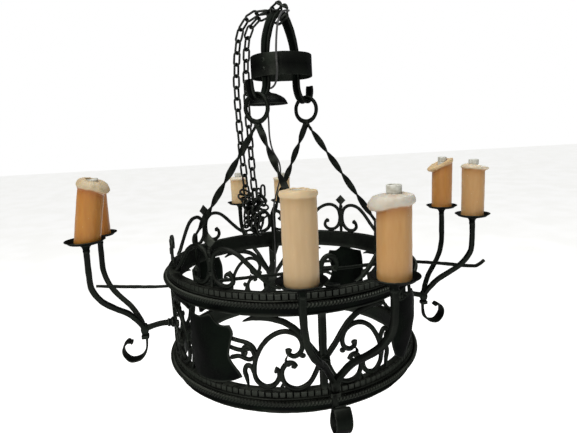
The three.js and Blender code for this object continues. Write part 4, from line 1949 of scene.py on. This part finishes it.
LIGHTS: dict[str, tuple[Melt, dict[str, str]]] = {
    "front_left": (
        Melt(overhang=2.2, droop=5.0, dome=4.5, crinkle=0.6, thick=5.0),
        {"body": "#ad9470", "warm": "#947a52", "melted": "#b8a482", "foot": "#7c6a52"},
    ),
    "front_right": (
        Melt(
            overhang=5.0, lobe=9.0, lobe_at=-1.7, lobe_sharp=0.8, slant=1.0, slant_at=1.4, droop=14.0,
            lobe_droop=9.0, thick=9.0, crinkle=1.2,
        ),
        {"body": "#aa8350", "warm": "#8c5824", "melted": "#b0ab9f", "foot": "#ad8f68"},
    ),
    "right_front": (
        Melt(overhang=3.0, lobe=8.0, lobe_at=1.4, slant=4.0, slant_at=-1.4, droop=7.0, crinkle=1.5),
        {"body": "#ac8656", "warm": "#906028", "melted": "#bdb29c", "foot": "#a07e54"},
    ),
    "right_back": (
        Melt(
            overhang=2.0, slant=10.0, slant_at=1.4, droop=6.0, lobe=13.0, lobe_at=-1.7, lobe_droop=9.0,
            thick=7.0,
        ),
        {"body": "#a77436", "warm": "#8a5420", "melted": "#bda47c", "foot": "#967044"},
    ),
    "back_right": (
        Melt(overhang=3.0, lobe=3.0, droop=5.0),
        {"body": "#bda47c", "warm": "#a07e50", "melted": "#ccc4b0", "foot": "#a88e64"},
    ),
    "back_left": (
        Melt(overhang=2.5, lobe=3.0, lobe_at=1.0, droop=5.0),
        {"body": "#bfa67e", "warm": "#a07e50", "melted": "#ccc4b0", "foot": "#a88e64"},
    ),
    "left_back": (
        Melt(overhang=2.5, droop=5.0, lobe=4.0, lobe_at=2.0),
        {"body": "#a2682a", "warm": "#864c1a", "melted": "#a99270", "foot": "#916a38"},
    ),
    "left_front": (
        Melt(
            overhang=3.5, lobe=8.0, lobe_at=1.3, slant=-6.0, slant_at=1.3, droop=14.0, lobe_droop=10.0,
            crinkle=1.8, thick=7.0,
        ),
        {"body": "#a26d28", "warm": "#884c16", "melted": "#aa9c80", "foot": "#8f6832"},
    ),
}
LEANS: dict[str, Lean] = {"left_front": Lean(base=5.0, lift=2.4, slope=0.19)}


def main() -> None:
    """Builds every piece in order."""
    logging.basicConfig(level=logging.INFO, format="%(name)s %(message)s")
    noise.seed_set(NOISE_SEED)
    Studio().make()
    iron = WroughtIron("black_green_wrought_iron").build()
    # Rose and chain: lighter iron tone and more of the pale up-facing layer, part dusting and part
    # painted top light.
    rose = WroughtIron("pressed_black_iron", deep="#141517", green="#191b1a", dusty=0.15).build()
    holder = Bakelite("lamp_holder_bakelite").build()
    Flex(FlexSheath("black_vinyl_flex").build()).make()
    Chain(rose).make()
    # Hoops: more of the pale up-facing layer, part dusting and part painted top light on the ledge.
    worn_and_highlit = WroughtIron("dust_and_top_lit_black_iron", dusty=0.2).build()
    for level in ("upper", "lower"):
        Hoop(level, worn_and_highlit).make()
    Fretwork(iron).make()
    Shield(iron).make()
    Crests(iron).make()
    TwistedBars(iron).make()
    Eyes(iron).make()
    Bail(iron).make()
    CrownBand(iron).make()
    Canopy(rose).make()
    CrossRod(iron).make()
    for name, azimuth in ARMS.items():
        pans = [pan for pan in LIGHTS if pan.startswith(name + "_")]
        ForkArm(name, azimuth, pans, iron).make()
    for i, (name, (melt, tints)) in enumerate(LIGHTS.items()):
        wax = CandleWax("wax_look_resin_" + name, **tints)
        CandleLight(name, melt, wax, iron, holder, LEANS.get(name, Lean()), seed=7.3 * i).make()


if __name__ == "__main__":
    main()
